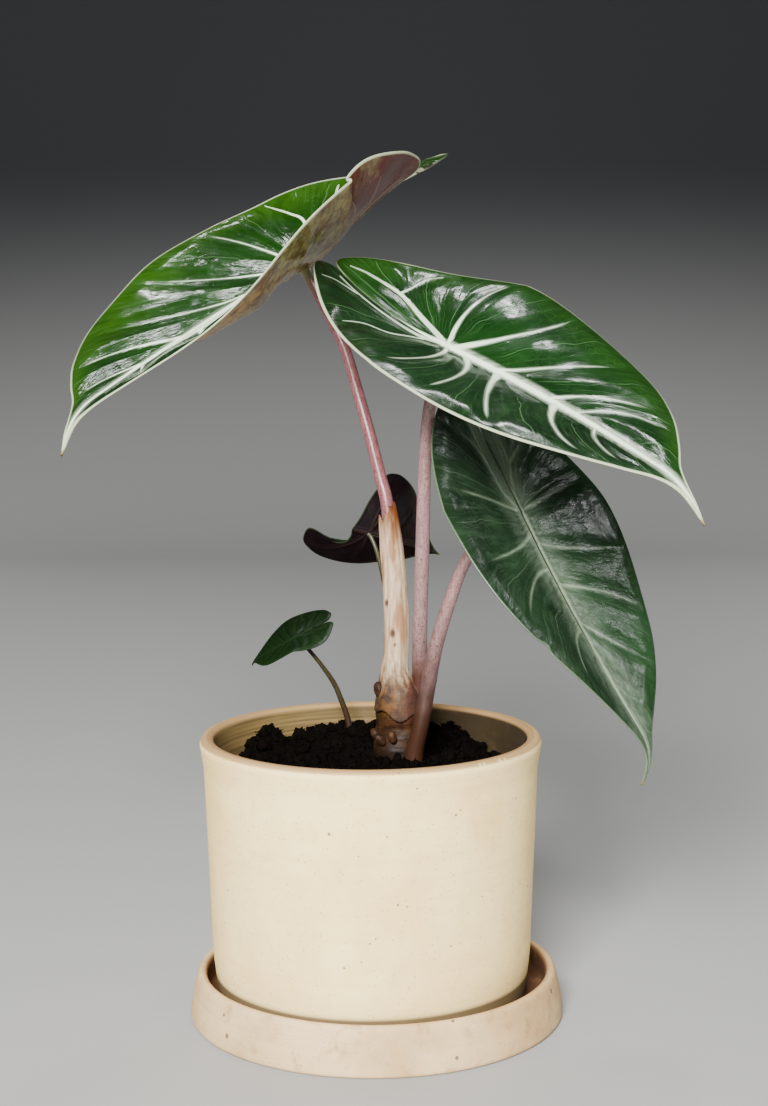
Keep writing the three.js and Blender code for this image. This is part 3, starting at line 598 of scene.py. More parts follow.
def make_crumbs():
    """Crumbs, clods and fibres that lie on the soil, as one mesh."""
    draw = np.random.RandomState(7)
    shapes = [icosphere(0), icosphere(1)]
    points, faces = [], []
    count = 0

    def add(body, sides):
        nonlocal count
        points.append(body)
        faces.extend(tuple(count + k for k in face) for face in sides)
        count += len(body)

    def spot_on_soil(margin):
        angle = draw.uniform(0, 2 * np.pi)
        reach = min(CRUMB_REACH * math.sqrt(draw.uniform(0, 1)), SOIL_WALL_RADIUS - margin)
        x, y = POT_CENTRE + reach * np.array([math.cos(angle), math.sin(angle)])
        return np.array([x, y, soil_height(np.array([x]), np.array([y]))[0]])

    for number in range(CRUMBS):
        is_large = number % 4 == 0
        size = 0.9 + 2.0 * draw.uniform(0, 1) ** 3 if is_large else 0.4 + 0.8 * draw.uniform(0, 1) ** 2
        ball, sides = shapes[is_large]
        turn = random_turn(draw)
        stretch = draw.uniform(0.5, 1.4, 3)
        lumpy = 1 + 0.6 * noise(ball + draw.uniform(0, 50, 3), 0.55, 31)
        body = (ball * lumpy[:, None] * stretch) @ turn.T * size
        add(body + spot_on_soil(1.7 * size) + (0, 0, 0.3 * size), sides)
    for _ in range(FIBRES):
        heading, length = draw.uniform(0, 2 * np.pi), draw.uniform(2, 6)
        bend, lift = draw.uniform(-1.2, 1.2), draw.uniform(0, 0.9)
        start = spot_on_soil(6.5)
        t = np.linspace(-0.5, 0.5, 6)
        angle = heading + bend * t
        rise = 0.5 + lift * (t + 0.5) * 2
        line = start + stacked(length * t * np.cos(angle), length * t * np.sin(angle), rise)
        add(*capped_tube(tube_rings(line, np.full(6, draw.uniform(0.12, 0.28)), 5)))
    make_piece("soil_crumbs", np.vstack(points), faces, soil_look(), None, "soil")


def icosphere(divisions):
    """Points and triangles of a ball of radius 1."""
    g = (1 + 5**0.5) / 2
    points = [
        (-1, g, 0), (1, g, 0), (-1, -g, 0), (1, -g, 0), (0, -1, g), (0, 1, g),
        (0, -1, -g), (0, 1, -g), (g, 0, -1), (g, 0, 1), (-g, 0, -1), (-g, 0, 1),
    ]
    faces = [
        (0, 11, 5), (0, 5, 1), (0, 1, 7), (0, 7, 10), (0, 10, 11), (1, 5, 9), (5, 11, 4),
        (11, 10, 2), (10, 7, 6), (7, 1, 8), (3, 9, 4), (3, 4, 2), (3, 2, 6), (3, 6, 8),
        (3, 8, 9), (4, 9, 5), (2, 4, 11), (6, 2, 10), (8, 6, 7), (9, 8, 1),
    ]
    points = [np.array(p, float) / np.linalg.norm(p) for p in points]
    for _ in range(divisions):
        middles, finer = {}, []

        def middle(a, b):
            key = (min(a, b), max(a, b))
            if key not in middles:
                halfway = points[a] + points[b]
                middles[key] = len(points)
                points.append(halfway / np.linalg.norm(halfway))
            return middles[key]

        for a, b, c in faces:
            ab, bc, ca = middle(a, b), middle(b, c), middle(c, a)
            finer += [(a, ab, ca), (b, bc, ab), (c, ca, bc), (ab, bc, ca)]
        faces = finer
    return np.array(points), faces


def random_turn(draw):
    axis = unit(draw.normal(size=3))
    return np.array(Matrix.Rotation(draw.uniform(0, 2 * math.pi), 3, Vector(axis)))


# Stalks, corm and sheath

STALKS = {
    "petiole_a": [
        (9.8, 4.8, 130, 3.4), (9.2, 5, 139, 3.6), (8.6, 6, 151, 3.8), (9.7, 7, 165, 3.9),
        (9.2, 9, 187, 3.6), (7.4, 12, 209, 3.1), (5.6, 14, 226, 2.9), (2.8, 16, 237, 2.8),
        (-1.9, 19, 256, 2.7), (-6.9, 22, 274, 2.6), (-12.1, 24, 292, 2.5), (-17.8, 26, 304.5, 2.5),
        (-25.6, 28.6, 320, 2.6), (-30.7, 30, 329.1, 2.8),
    ],
    "petiole_b": [
        (18, 5.5, 132, 3.2), (19.8, 4, 145, 3.5), (19.8, 2, 156, 3.4), (19.8, -2, 172, 3.2),
        (20.7, -10, 203, 3), (21.8, -22, 247, 2.8), (23.8, -29, 270, 2.6), (27.6, -33.4, 284, 2.6),
        (30.8, -35, 292.6, 2.8),
    ],
    "petiole_c": [
        (16.4, -4, 106, 3.3), (17.2, -6, 118, 3.5), (19.6, -8, 129, 3.6), (23.1, -9, 148, 3.4),
        (26.6, -12, 166, 3.1), (32.5, -15, 186, 2.8), (39.4, -18, 203.5, 2.5), (50, -20.6, 216, 2.4),
        (61.4, -22, 223.9, 2.6),
    ],
    "petiole_d": [
        (10.3, 11, 135, 1.7), (10.2, 13.4, 141, 1.7), (9.2, 18, 148, 1.5), (7.6, 30, 163, 1.3),
        (4.8, 46, 183, 1.1), (1.6, 56, 197, 1), (-1.2, 59.4, 204.4, 1), (-2.9, 60, 206.9, 1.1),
    ],
    "petiole_e": [
        (-10.6, 46, 108, 1.4), (-12.8, 45, 122, 1.4), (-15.9, 43, 132, 1.3), (-19.1, 41, 140, 1.2),
        (-24.7, 38, 149, 1), (-30.3, 36, 156.4, 0.9), (-34, 35.2, 160.4, 0.9), (-35.9, 35, 161.8, 1),
    ],
}
STALK_STEP = 1.6
FOOT_SPREAD, FOOT_SHARE = 0.28, 0.26


def stalk_line(name, count=None):
    """Places along a stalk and its radius at each, by default about STALK_STEP apart."""
    data = np.array(STALKS[name], float)
    if count is None:
        count = int(np.linalg.norm(np.diff(data[:, :3], axis=0), axis=1).sum() / STALK_STEP)
    radii = np.interp(np.linspace(0, len(data) - 1, count), np.arange(len(data)), data[:, 3])
    return even_curve(data[:, :3], count), radii


def square_to(ahead):
    """Two directions square to each direction ahead, the first of them as near X as it can be."""
    level = np.array([1.0, 0.0, 0.0])
    across = unit(level - (ahead @ level)[:, None] * ahead)
    return across, np.cross(ahead, across)


def tube_rings(line, radii, sides, swell=None):
    """Rings of points round a line. swell gives a share of the radius for (ring, angles)."""
    across, third = square_to(unit(np.gradient(line, axis=0)))
    angles = angles_round(sides)
    rings = []
    for i, centre in enumerate(line):
        size = radii[i] * (swell(i, angles) if swell else np.ones(sides))
        x, y = (size * np.cos(angles))[:, None], (size * np.sin(angles))[:, None]
        rings.append(centre + across[i] * x + third[i] * y)
    return rings


def stalk_look(name, colour, shade, speck, top, foot, roughness, foot_reach=(0.18, 0.46)):
    """A smooth living stalk, mottled with fine specks, greener at its top and browner at its foot."""
    look = Look(name, roughness, specular=0.5)
    along = look.attribute("along")
    streak = look.noise(look.place((1.6, 1.6, 0.12)), 1.6, detail=3)
    fleck = look.noise(look.place((1, 1, 0.55)), 0.5, roughness=0.6)
    mottled = along + look.noise(look.place(), 5, detail=3) * 0.16
    base = look.layers(
        colour,
        (look.span(streak, 0.3, 0.7), shade),
        (look.span(fleck, 0.55, 0.64, 0, 0.85), speck),
        (look.span(along, 0.9, 1.0), top),
        (look.span(mottled, *foot_reach, 1, 0), foot),
    )
    return look.finish(base, None, look.bump(look.noise(look.place((1, 1, 0.15)), 0.7), 0.1, 0.3))


def make_stalk(name, sides, look, slot):
    line, radii = stalk_line(name)
    count = len(line)
    if name in ("petiole_b", "petiole_c"):
        radii = radii * (1 + FOOT_SPREAD * (1 - smooth(np.linspace(0, 1, count) / FOOT_SHARE)))
    seed = sum(map(ord, name))
    wobble = noise(line + seed, 14, seed) * 0.03

    def swell(i, angles):
        return 1 + wobble[i] + 0.015 * np.sin(3 * angles + i * 0.02)

    points, faces = capped_tube(tube_rings(line, radii, sides, swell))
    values = {"along": np.append(np.repeat(np.linspace(0, 1, count), sides), [0, 1])}
    make_piece(name + "_stem", points, faces, look, name, slot, values)


def make_stalks():
    green = (120, 128, 84)
    tall = stalk_look("pink_stalk", (128, 84, 84), (108, 64, 66), (62, 28, 30), green, (84, 38, 24), 0.3)
    pale = stalk_look(
        "pale_stalk", (140, 110, 108), (120, 92, 90), (62, 36, 36), green, (58, 30, 20), 0.36, (0.24, 0.5)
    )
    leaning = stalk_look(
        "leaning_stalk", (136, 104, 102), (116, 86, 84), (60, 34, 32), green, (50, 29, 18), 0.36,
        (0.34, 0.74),
    )
    thin = stalk_look(
        "olive_stalk", (54, 50, 26), (44, 38, 20), (30, 20, 12), (54, 56, 30), (42, 26, 14), 0.45
    )
    make_stalk("petiole_a", 28, tall, "stalk")
    make_stalk("petiole_b", 28, pale, "stalk")
    make_stalk("petiole_c", 28, leaning, "stalk")
    make_stalk("petiole_d", 16, thin, "small_stalk")
    make_stalk("petiole_e", 16, thin, "small_stalk")


CORM_CENTRE = np.array([10.5, 4.0])
CORM_BOTTOM, CORM_TOP, CORM_FLATNESS = 98.0, 147.5, 0.92
CORM_RADII = [9.5, 10.8, 11, 11.4, 11.6, 10.6, 9.8, 10.2, 9.2, 8.2, 6]
# Centre, radius, length in radii and tilt in degrees.
CORM_BUDS = {
    "side_bud": ((2.2, 1.5, 144), 2.6, 1.5, -20),
    "root_stub_1": ((0.6, 0.5, 124.5), 2.1, 1.6, -50),
    "root_stub_2": ((2.4, -4.2, 123), 2.0, 1.6, -35),
    "root_stub_3": ((7.5, -6.4, 124.5), 1.9, 1.6, -15),
}


def corm_colour(look, height):
    """Brown living skin, ochre high up on the left, redder to the right, dark at the soil."""
    place, across = look.place(), look.axis("X")
    patch = look.noise(place, 5, detail=5, roughness=0.65)
    red = look.span(across, 9, 15) * look.span(height, 126, 136)
    ochre = look.span(height, 131, 137) * look.span(across, 8, 15, 1, 0)
    ochre = ochre * look.span(look.noise(place, 4, detail=4), 0.4, 0.55)
    line = look.noise(look.place((0.12, 0.12, 1)), 1.3, detail=3)
    colour = look.layers(
        (56, 34, 18),
        (look.span(patch, 0.35, 0.65), (30, 17, 9)),
        (red * 0.6, (62, 31, 24)),
        (ochre * 0.75, (86, 55, 16)),
        (look.span(line, 0.56, 0.66, 0, 0.6), (24, 13, 7)),
        (look.span(height, 114, 126, 1, 0), (20, 12, 7)),
    )
    return colour, line


def corm_look():
    look = Look("corm_skin", roughness=0.5, specular=0.1)
    colour, line = corm_colour(look, look.attribute("height"))
    normal = look.bump(look.noise(look.place(), 1.2, detail=4, roughness=0.6), 0.3, 0.5)
    return look.finish(colour, None, look.bump(line, 0.35, 0.6, normal))


def make_corm():
    steps, sides = 110, 72
    angles = angles_round(sides)
    rings = []
    for i in range(steps + 1):
        share = i / steps
        height = CORM_BOTTOM + (CORM_TOP - CORM_BOTTOM) * share
        radius = np.interp(share * (len(CORM_RADII) - 1), np.arange(len(CORM_RADII)), CORM_RADII)
        lump = 0.6 * np.sin(2 * angles + 5 * share) + 0.25 * np.sin(5 * angles - 9 * share)
        scar = 0.16 * np.cos(2 * np.pi * (height + 3.5 * np.sin(angles - 0.6)) / 7.5)
        size = radius + smooth((share - 0.4) / 0.15) * (lump + scar)
        ring = stacked(size * np.cos(angles), CORM_FLATNESS * size * np.sin(angles), height)
        rings.append(ring + (*CORM_CENTRE, 0))
    points, faces = capped_tube(rings)
    outward = unit((points - (*CORM_CENTRE, 0)) * (1, 1, 0))
    points = points + outward * (0.35 * noise(points, 3.2, 41, 2))[:, None]
    make_piece("corm_body", points, faces, corm_look(), "corm", "corm", {"height": points[:, 2]})
    ball, faces = icosphere(3)
    for number, (name, (centre, radius, stretch, tilt)) in enumerate(CORM_BUDS.items()):
        turn = np.array(Matrix.Rotation(math.radians(tilt), 3, "Y"))
        body = ball * (1 + 0.08 * noise(ball, 0.6, 50 + number))[:, None]
        body = (body * (radius, radius, radius * stretch)) @ turn.T + centre
        make_piece(name, body, faces, corm_look(), None, "corm", {"height": np.minimum(body[:, 2], 129)})


SHEATH_HEIGHTS = [128, 133, 138, 142.5, 147, 152, 159, 170, 181, 193, 204, 215, 226]
SHEATH_RADII = [10.9, 10.9, 10.5, 9.7, 8, 6.4, 5.5, 5.6, 5.4, 5.1, 5.1, 4.6, 3.7]
SHEATH_BOTTOM, SHEATH_TOP = 134.0, 221.0
SHEATH_WALL, SHEATH_GAP = 0.7, 0.3
SHEATH_SPOTS = [((5.6, 5.2, 182), 1.1), ((7.9, 2, 169), 1.3), ((9, 1.6, 164), 0.6)]


def sheath_look():
    """Dry papery skin: cream, streaked along its length, orange-brown where it is torn at the top."""
    look = Look("dry_sheath", roughness=0.6, specular=0.2)
    height = look.attribute("height")
    fibre = look.noise(look.place((1, 1, 0.03)), 0.9, detail=4, roughness=0.6)
    patch = look.noise(look.place((1, 1, 0.22)), 4.5, detail=4)
    tip = height + look.noise(look.place((1, 1, 0.1)), 2.5, detail=3) * 22
    colour = look.layers(
        (180, 160, 132),
        (look.span(fibre, 0.3, 0.7), (146, 118, 90)),
        (look.span(patch, 0.5, 0.7, 0, 0.85), (128, 88, 56)),
        (look.span(tip, 216, 234), (92, 48, 14)),
        (look.span(tip, 232, 240, 0, 0.8), (50, 24, 8)),
        (look.span(tip, 154, 170, 0.97, 0), corm_colour(look, height)[0]),
        (look.attribute("spot"), (52, 22, 10)),
    )
    foot = look.span(height, 138, 152, 0.5, 0)
    normal = look.bump(look.noise(look.place(), 3, detail=4), 0.8, foot, look.bump(fibre, 0.2, 0.45))
    return look.finish(colour, None, normal)


def make_sheath():
    steps, sides = 110, 96
    angles = angles_round(sides)
    line, stalk_radii = stalk_line("petiole_a", 900)
    ahead = unit(np.gradient(line, axis=0))
    bottom = SHEATH_BOTTOM + 2.2 * np.sin(2 * angles + 1) + 1.2 * np.sin(5 * angles)
    tongue = 5 * bell(angles - np.pi, 0.5)
    top = SHEATH_TOP + (5 * np.cos(angles + 0.5) - 2) + tongue
    top = top + (0.8 * np.sin(9 * angles) + 0.5 * np.sin(23 * angles))
    outside, inside = [], []
    for i in range(steps + 1):
        share = i / steps
        heights = bottom + (top - bottom) * share
        place = np.clip(np.searchsorted(line[:, 2], heights), 0, len(line) - 1)
        centre = line[place].copy()
        over_corm = smooth((153 - heights) / 12)[:, None]
        centre[:, :2] += over_corm * (CORM_CENTRE - centre[:, :2])
        across, third = square_to(ahead[place])
        outward = across * np.cos(angles)[:, None] + third * np.sin(angles)[:, None]
        folds = 0.12 * np.sin(5 * angles + 4 * share) + 0.06 * np.sin(13 * angles - 5 * share)
        flat = stacked(np.cos(angles) * 9, np.sin(angles) * 9, share * 16)
        size = np.interp(heights, SHEATH_HEIGHTS, SHEATH_RADII) + folds + 0.25 * noise(flat, 3, 61, 2)
        floor = stalk_radii[place] + SHEATH_GAP
        outside.append(centre + outward * np.maximum(size, floor + 0.5)[:, None])
        inside.append(centre + outward * np.maximum(size - SHEATH_WALL, floor)[:, None])
    layers = outside + inside[::-1]
    points = np.vstack(layers)
    spot = np.zeros(len(points))
    for centre, size in SHEATH_SPOTS:
        away = np.linalg.norm((points - centre) * (1, 1, 0.7), axis=1)
        spot = np.maximum(spot, 0.9 * smooth(1.5 - away / size))
    values = {"height": points[:, 2], "spot": spot}
    faces = grid_faces(len(layers), sides, closed_rows=True)
    make_piece("sheath_skin", points, faces, sheath_look(), "sheath", "sheath", values)


# Blades

EDGE = [
    (1, 0), (0.955, 0.008), (0.9, 0.02), (0.84, 0.052), (0.77, 0.115), (0.66, 0.205), (0.52, 0.29),
    (0.36, 0.35), (0.2, 0.385), (0.04, 0.395), (-0.1, 0.38), (-0.23, 0.343), (-0.34, 0.287),
    (-0.43, 0.215), (-0.49, 0.135), (-0.515, 0.085), (-0.5, 0.045), (-0.45, 0.016), (-0.36, 0.008),
    (-0.26, 0.004), (-0.2, 0),
]
TAILED_EDGE = EDGE[:7] + [
    (0.36, 0.336), (0.2, 0.37), (0.04, 0.361), (-0.1, 0.322), (-0.261, 0.226), (-0.403, 0.115),
    (-0.524, 0.046), (-0.6, 0.026), (-0.65, 0.018), (-0.594, 0.01), (-0.512, 0.008),
    (-0.391, 0.006), (-0.26, 0.004), (-0.2, 0),
]
SHORT_LOBED_EDGE = EDGE[:10] + [
    (-0.1, 0.35), (-0.23, 0.29), (-0.34, 0.226), (-0.42, 0.16), (-0.47, 0.105), (-0.49, 0.06),
    (-0.48, 0.024), (-0.45, 0.009), (-0.38, 0.006), (-0.27, 0.004), (-0.2, 0),
]
DARK_LOWER_EDGE = [
    (1, 0), (0.9, 0.03), (0.7, 0.14), (0.52, 0.26), (0.24, 0.41), (-0.03, 0.56), (-0.27, 0.62),
    (-0.5, 0.6), (-0.66, 0.49), (-0.74, 0.35), (-0.7, 0.14), (-0.5, 0.19), (-0.37, 0.26),
    (-0.25, 0.22), (-0.2, 0.12), (-0.2, 0),
]
DARK_UPPER_EDGE = [
    (1, 0), (0.88, 0.06), (0.71, 0.27), (0.52, 0.57), (0.43, 0.7), (0.33, 0.8), (0.19, 0.87),
    (0.05, 0.84), (-0.01, 0.65), (-0.09, 0.4), (-0.14, 0.18), (-0.2, 0),
]
LOBE_SHARE, WIDTH_SHARE, LOBE_REACH = 0.515, 0.395, 0.6
LOBE_KINK_REACH = 25.0
# Half widths in millimetres: of the midrib at shares of the front's length, and of the lobe's
# ribs at their base and end. A rib has the width OUT_OF_REACH past its ends.
MID_WIDTHS = ([-0.25, 0, 0.25, 0.7, 1], [0.2, 2.5, 2.4, 1.5, 0.6])
RIBS, MAIN_RIB, BRANCH_RIB, OUT_OF_REACH = 3, (1.35, 0.35), (0.85, 0.3), -2.0
# The quilt between the veins grows to its full height over these shares of the front's length.
QUILT_FROM_VEIN, QUILT_FROM_EDGE = 0.07, 0.05
# Height and size of the fine ripple in millimetres, on a blade with a front of that length.
RIPPLE, RIPPLE_SIZE, RIPPLE_FRONT = 0.22, 7.5, 150
# Points of the two halves that agree to this part of a millimetre become one.
MERGED_PER_MM = 500

# Side veins from the tip back to the joint: where each leaves the midrib, the point that it is
# pulled to, where it meets the edge, counted in edge points, and its half width at the base in
# millimetres. The lobe fan goes on from the joint round to the notch and only guides fine streaks.
BARE_TIP = [(1, (1, 0), 0, 0), (0.86, (0.885, 0.01), 2.2, 0)]
LOBE_FAN = [
    ((-0.13, 0.09), 10.9), ((-0.25, 0.1), 12.2), ((-0.27, 0.07), 14.5), ((-0.24, 0.025), 16.5),
    ((-0.1, 0), 20),
]
GENERAL_VEINS = BARE_TIP + [
    (0.62, (0.69, 0.055), 4.1, 0.8), (0.4, (0.5, 0.12), 5.2, 1.0), (0.2, (0.32, 0.16), 6.6, 1.1),
    (0.07, (0.17, 0.15), 8, 1.2), (0, (-0.04, 0.19), 10, 1.1),
]
LEAF_VEINS = {
    ("leaf_a", "right"): BARE_TIP + [
        (0.62, (0.7, 0.06), 3.1, 1.1), (0.46, (0.61, 0.17), 4.5, 1.2), (0.13, (0.32, 0.014), 5.8, 1.1),
        (0.01, (0.19, 0.086), 7.3, 1.2), (0, (0.012, 0.27), 8.8, 1.1),
    ],
    ("leaf_b", "left"): BARE_TIP + [
        (0.48, (0.565, 0.15), 4.3, 0.3), (0.38, (0.457, 0.11), 5, 0.8), (0.17, (0.31, 0.078), 6.5, 0.8),
        (0.005, (0.22, 0.18), 8.15, 1.5), (0, (-0.09, 0.25), 9.35, 1.4),
    ],
    ("leaf_b", "right"): BARE_TIP + [
        (0.57, (0.61, 0.1), 3.6, 0.3), (0.415, (0.51, 0.19), 4.5, 1.2), (0.2, (0.29, 0.21), 6.4, 1.4),
        (0.07, (0.24, 0.16), 8.1, 1.1), (0, (0.116, 0.2), 9.4, 0.9),
    ],
    ("leaf_c", "left"): BARE_TIP + [
        (0.41, (0.435, 0.033), 5.25, 0.7), (0.275, (0.33, 0.26), 6.5, 0.8),
        (0.117, (0.17, 0.167), 8.1, 0.8), (0, (-0.057, 0.13), 10.3, 1.0),
    ],
    ("leaf_c", "right"): BARE_TIP + [
        (0.45, (0.47, 0.13), 4.7, 0.6), (0.22, (0.233, 0.167), 6.4, 0.7), (0.086, (0.17, 0.134), 8, 0.8),
        (0, (-0.033, 0.11), 10, 0.9),
    ],
    ("leaf_d", "left"): [
        (1, (1, 0), 0, 0), (0.7, (0.75, 0.04), 2, 0.3), (0.3, (0.36, 0.17), 4, 0.6),
        (0, (-0.02, 0.3), 5.4, 0.8),
    ],
    ("leaf_d", "right"): [
        (1, (1, 0), 0, 0), (0.7, (0.75, 0.06), 1.6, 0.3), (0.3, (0.42, 0.25), 3, 0.6),
        (0, (0.2, 0.4), 5, 0.8),
    ],
}
LOBE_FANS = {
    ("leaf_d", "left"): [((-0.2, 0.34), 7.4), ((-0.34, 0.4), 9.6), ((-0.2, 0.25), 12), ((-0.1, 0), 15)],
    ("leaf_d", "right"): [((0.05, 0.45), 6.8), ((-0.03, 0.2), 9), ((-0.1, 0), 11)],
}

# The lobe's rib from the joint, then the veins that branch off it.
GENERAL_RIBS = [
    [(0, 0), (-0.13, 0.055), (-0.26, 0.065), (-0.43, 0.08)],
    [(-0.12, 0.052), (-0.15, 0.12), (-0.17, 0.2), (-0.147, 0.273)],
    [(-0.24, 0.065), (-0.28, 0.15), (-0.317, 0.216)],
]
LOBE_RIBS = {
    ("leaf_a", "right"): [
        [(0, 0), (-0.11, 0.05), (-0.26, 0.07), (-0.36, 0.066), (-0.44, 0.05)],
        [(-0.09, 0.045), (-0.165, 0.125), (-0.168, 0.186), (-0.155, 0.275)],
        [(-0.24, 0.068), (-0.3, 0.12), (-0.33, 0.14)],
    ],
    ("leaf_b", "left"): [
        [(0, 0), (-0.04, 0.024), (-0.146, 0.057), (-0.265, 0.088), (-0.39, 0.08), (-0.455, 0.053)],
        [(-0.265, 0.088), (-0.26, 0.13), (-0.259, 0.2), (-0.234, 0.25)],
    ],
    ("leaf_b", "right"): [
        [(0, 0), (-0.09, 0.032), (-0.2, 0.034), (-0.33, 0.036), (-0.42, 0.03)],
        [(-0.32, 0.036), (-0.389, 0.077), (-0.412, 0.133)],
        [(-0.06, 0.024), (-0.08, 0.07), (-0.11, 0.146), (-0.171, 0.189), (-0.207, 0.259)],
    ],
    ("leaf_c", "left"): [
        [(0, 0), (-0.07, 0.014), (-0.15, 0.034), (-0.22, 0.056), (-0.333, 0.065)],
        [(-0.22, 0.056), (-0.314, 0.141)],
    ],
    ("leaf_c", "right"): [
        [(0, 0), (-0.085, 0.052), (-0.182, 0.069), (-0.274, 0.106), (-0.313, 0.173)],
        [(-0.182, 0.069), (-0.3, 0.075), (-0.42, 0.07)],
    ],
    ("leaf_d", "left"): [[(0, 0), (-0.16, 0.2), (-0.36, 0.36), (-0.56, 0.42)]],
    ("leaf_d", "right"): [[(0, 0), (0.06, 0.3), (0.1, 0.55), (0.12, 0.74)]],
}

LEAVES = {
    "leaf_a": dict(
        joint=(-30.7, 30, 329.1), front=179, back=74.7, broad=0.82, droop=-4.8, tip_droop=36.1,
        lobe_kink=-26.5, lobe_lift=25, swing=15.3, tip_swing=6.2, lobe_swing=30, twist=4.3,
        lobe_twist=-10, heading=228.4, pitch=-23.2, roll=-7.4,
        left=dict(
            edge=EDGE, width=1, fold=(51.5, 20.2, 12.4), curl=(49, 72.4, 7.4), belly=(5.5, 0.14, 0.55),
            margin=1.1,
        ),
        right=dict(edge=TAILED_EDGE, width=1, fold=(20.5, 16.7, 5.8), curl=(-10.5, 2.3, -15.8), margin=0.7),
        puff=1.3, waves=6, wave_height=0.9, rise=1.1,
    ),
    "leaf_b": dict(
        joint=(30.8, -35, 292.6), front=157, back=83, broad=0.825, droop=-4.8, tip_droop=50.8,
        lobe_kink=0, lobe_lift=-21.9, swing=-14.3, tip_swing=7.1, lobe_swing=5.8, twist=-1.8,
        lobe_twist=-16, heading=-45.4, pitch=-19.2, roll=22.1,
        left=dict(
            edge=SHORT_LOBED_EDGE, width=0.99, fold=(7, 33.9, 3.7), curl=(22.7, -54.8, -54.8),
            margin=0.7,
        ),
        right=dict(
            edge=SHORT_LOBED_EDGE, width=0.92, fold=(22.2, 24.9, 6.3), curl=(-54.3, -19.4, -19.4),
            margin=1.15,
        ),
        puff=1.2, waves=5, wave_height=0.7, rise=1.1,
    ),
    "leaf_c": dict(
        joint=(61.4, -22, 223.9), front=129, back=58, broad=1.005, droop=-5.6, tip_droop=59,
        lobe_kink=0, lobe_lift=7.6, swing=5.3, tip_swing=-4.9, lobe_swing=12.2, twist=-2,
        lobe_twist=-1.7, heading=-49.1, pitch=-54.7, roll=-11.2,
        left=dict(edge=EDGE, width=1, fold=(13.6, 11.5, 13.8), curl=(5.6,) * 3, margin=0.6),
        right=dict(
            edge=EDGE, width=0.97, fold=(15.6, 5.8, 16.7), curl=(-19.2,) * 3,
            tear=(6.13, 0.2, 0.026), margin=0.8,
        ),
        puff=0.75, waves=5, wave_height=0.7, rise=0.9,
    ),
    "leaf_d": dict(
        joint=(-2.9, 60, 206.9), front=35, back=20, broad=1.05, droop=6, tip_droop=20,
        lobe_kink=0, lobe_lift=0, swing=0, tip_swing=0, lobe_swing=0, twist=0, lobe_twist=0,
        heading=0, pitch=-15, roll=-72,
        left=dict(edge=DARK_LOWER_EDGE, width=1, fold=(4, 8, 8), curl=(20, 14, 10)),
        right=dict(edge=DARK_UPPER_EDGE, width=1, fold=(12, 14, 8), curl=(30, 24, 10)),
        puff=0.5, waves=4, wave_height=0.4, rise=0.35,
    ),
    "leaf_e": dict(
        joint=(-35.9, 35, 161.8), front=28, back=20, broad=1.15, droop=10, tip_droop=30,
        lobe_kink=0, lobe_lift=0, swing=-14, tip_swing=0, lobe_swing=4, twist=0, lobe_twist=0,
        heading=165, pitch=-30, roll=-38,
        left=dict(edge=EDGE, width=1, fold=(-22, 4, 6), curl=(10, 20, 10)),
        right=dict(edge=EDGE, width=1, fold=(16, 18, 6), curl=(-20, -20, -10)),
        puff=0.4, waves=3, wave_height=0.4, rise=0.3,
    ),
}


def walk_midrib(leaf):
    """Places along the midrib and the line behind it, with the side and up directions there."""
    steps = 160

    def walk(sign, length):
        f = np.linspace(0, 1, steps + 1)
        late = smooth((f - 0.8) / 0.2)
        back = f * length / (LOBE_REACH * leaf["front"])
        if sign > 0:
            rise = -np.radians(leaf["droop"]) * f - np.radians(leaf["tip_droop"]) * late
            turn = np.radians(leaf["swing"]) * f + np.radians(leaf["tip_swing"]) * late
            twist = np.radians(leaf["twist"]) * f
        else:
            kinked = smooth(f * length / LOBE_KINK_REACH)
            rise = np.radians(leaf["lobe_lift"]) * back + np.radians(leaf["lobe_kink"]) * kinked
            turn = -np.radians(leaf["lobe_swing"]) * back
            twist = np.radians(leaf["lobe_twist"]) * back
        ahead = stacked(np.cos(rise) * np.cos(turn), np.cos(rise) * np.sin(turn), np.sin(rise))
        above = stacked(-np.sin(rise) * np.cos(turn), -np.sin(rise) * np.sin(turn), np.cos(rise))
        beside = np.cross(above, ahead)
        point = np.zeros((steps + 1, 3))
        point[1:] = np.cumsum(ahead[1:] + ahead[:-1], axis=0) * sign * length / steps / 2
        cos, sin = np.cos(twist)[:, None], np.sin(twist)[:, None]
        return sign * f * length, point, beside * cos + above * sin, above * cos - beside * sin

    lobes = walk(-1, 2 * LOBE_REACH * leaf["front"])
    front = walk(1, leaf["front"])
    return [np.concatenate([a[::-1], b[1:]]) for a, b in zip(lobes, front)]


def angle_at(angles, share):
    lobe, joint, tip = angles
    front = joint + (tip - joint) * np.clip(share, 0, 1)
    back = joint + (lobe - joint) * np.clip(-share / LOBE_SHARE, 0, 1)
    return np.radians(np.where(share >= 0, front, back))


def edge_curve(half, places):
    """Points of the half's edge, at places counted in edge points, with its tear if it has one."""
    curve = curve_through(half["edge"], places)
    if "tear" in half:
        centre, reach, depth = half["tear"]
        curve[:, 1] -= depth * np.clip(1 - np.abs(places - centre) / reach, 0, None)
    return curve


def scaled(leaf, half, flat):
    """Flat shares as millimetres along and across, with the lobes and the width to size."""
    lobe = leaf["back"] / (LOBE_SHARE * leaf["front"])
    along = flat[..., 0] * leaf["front"] * np.where(flat[..., 0] < 0, lobe, 1.0)
    across = np.maximum(flat[..., 1], 0) * leaf["broad"] * half["width"] * leaf["front"]
    return along, across


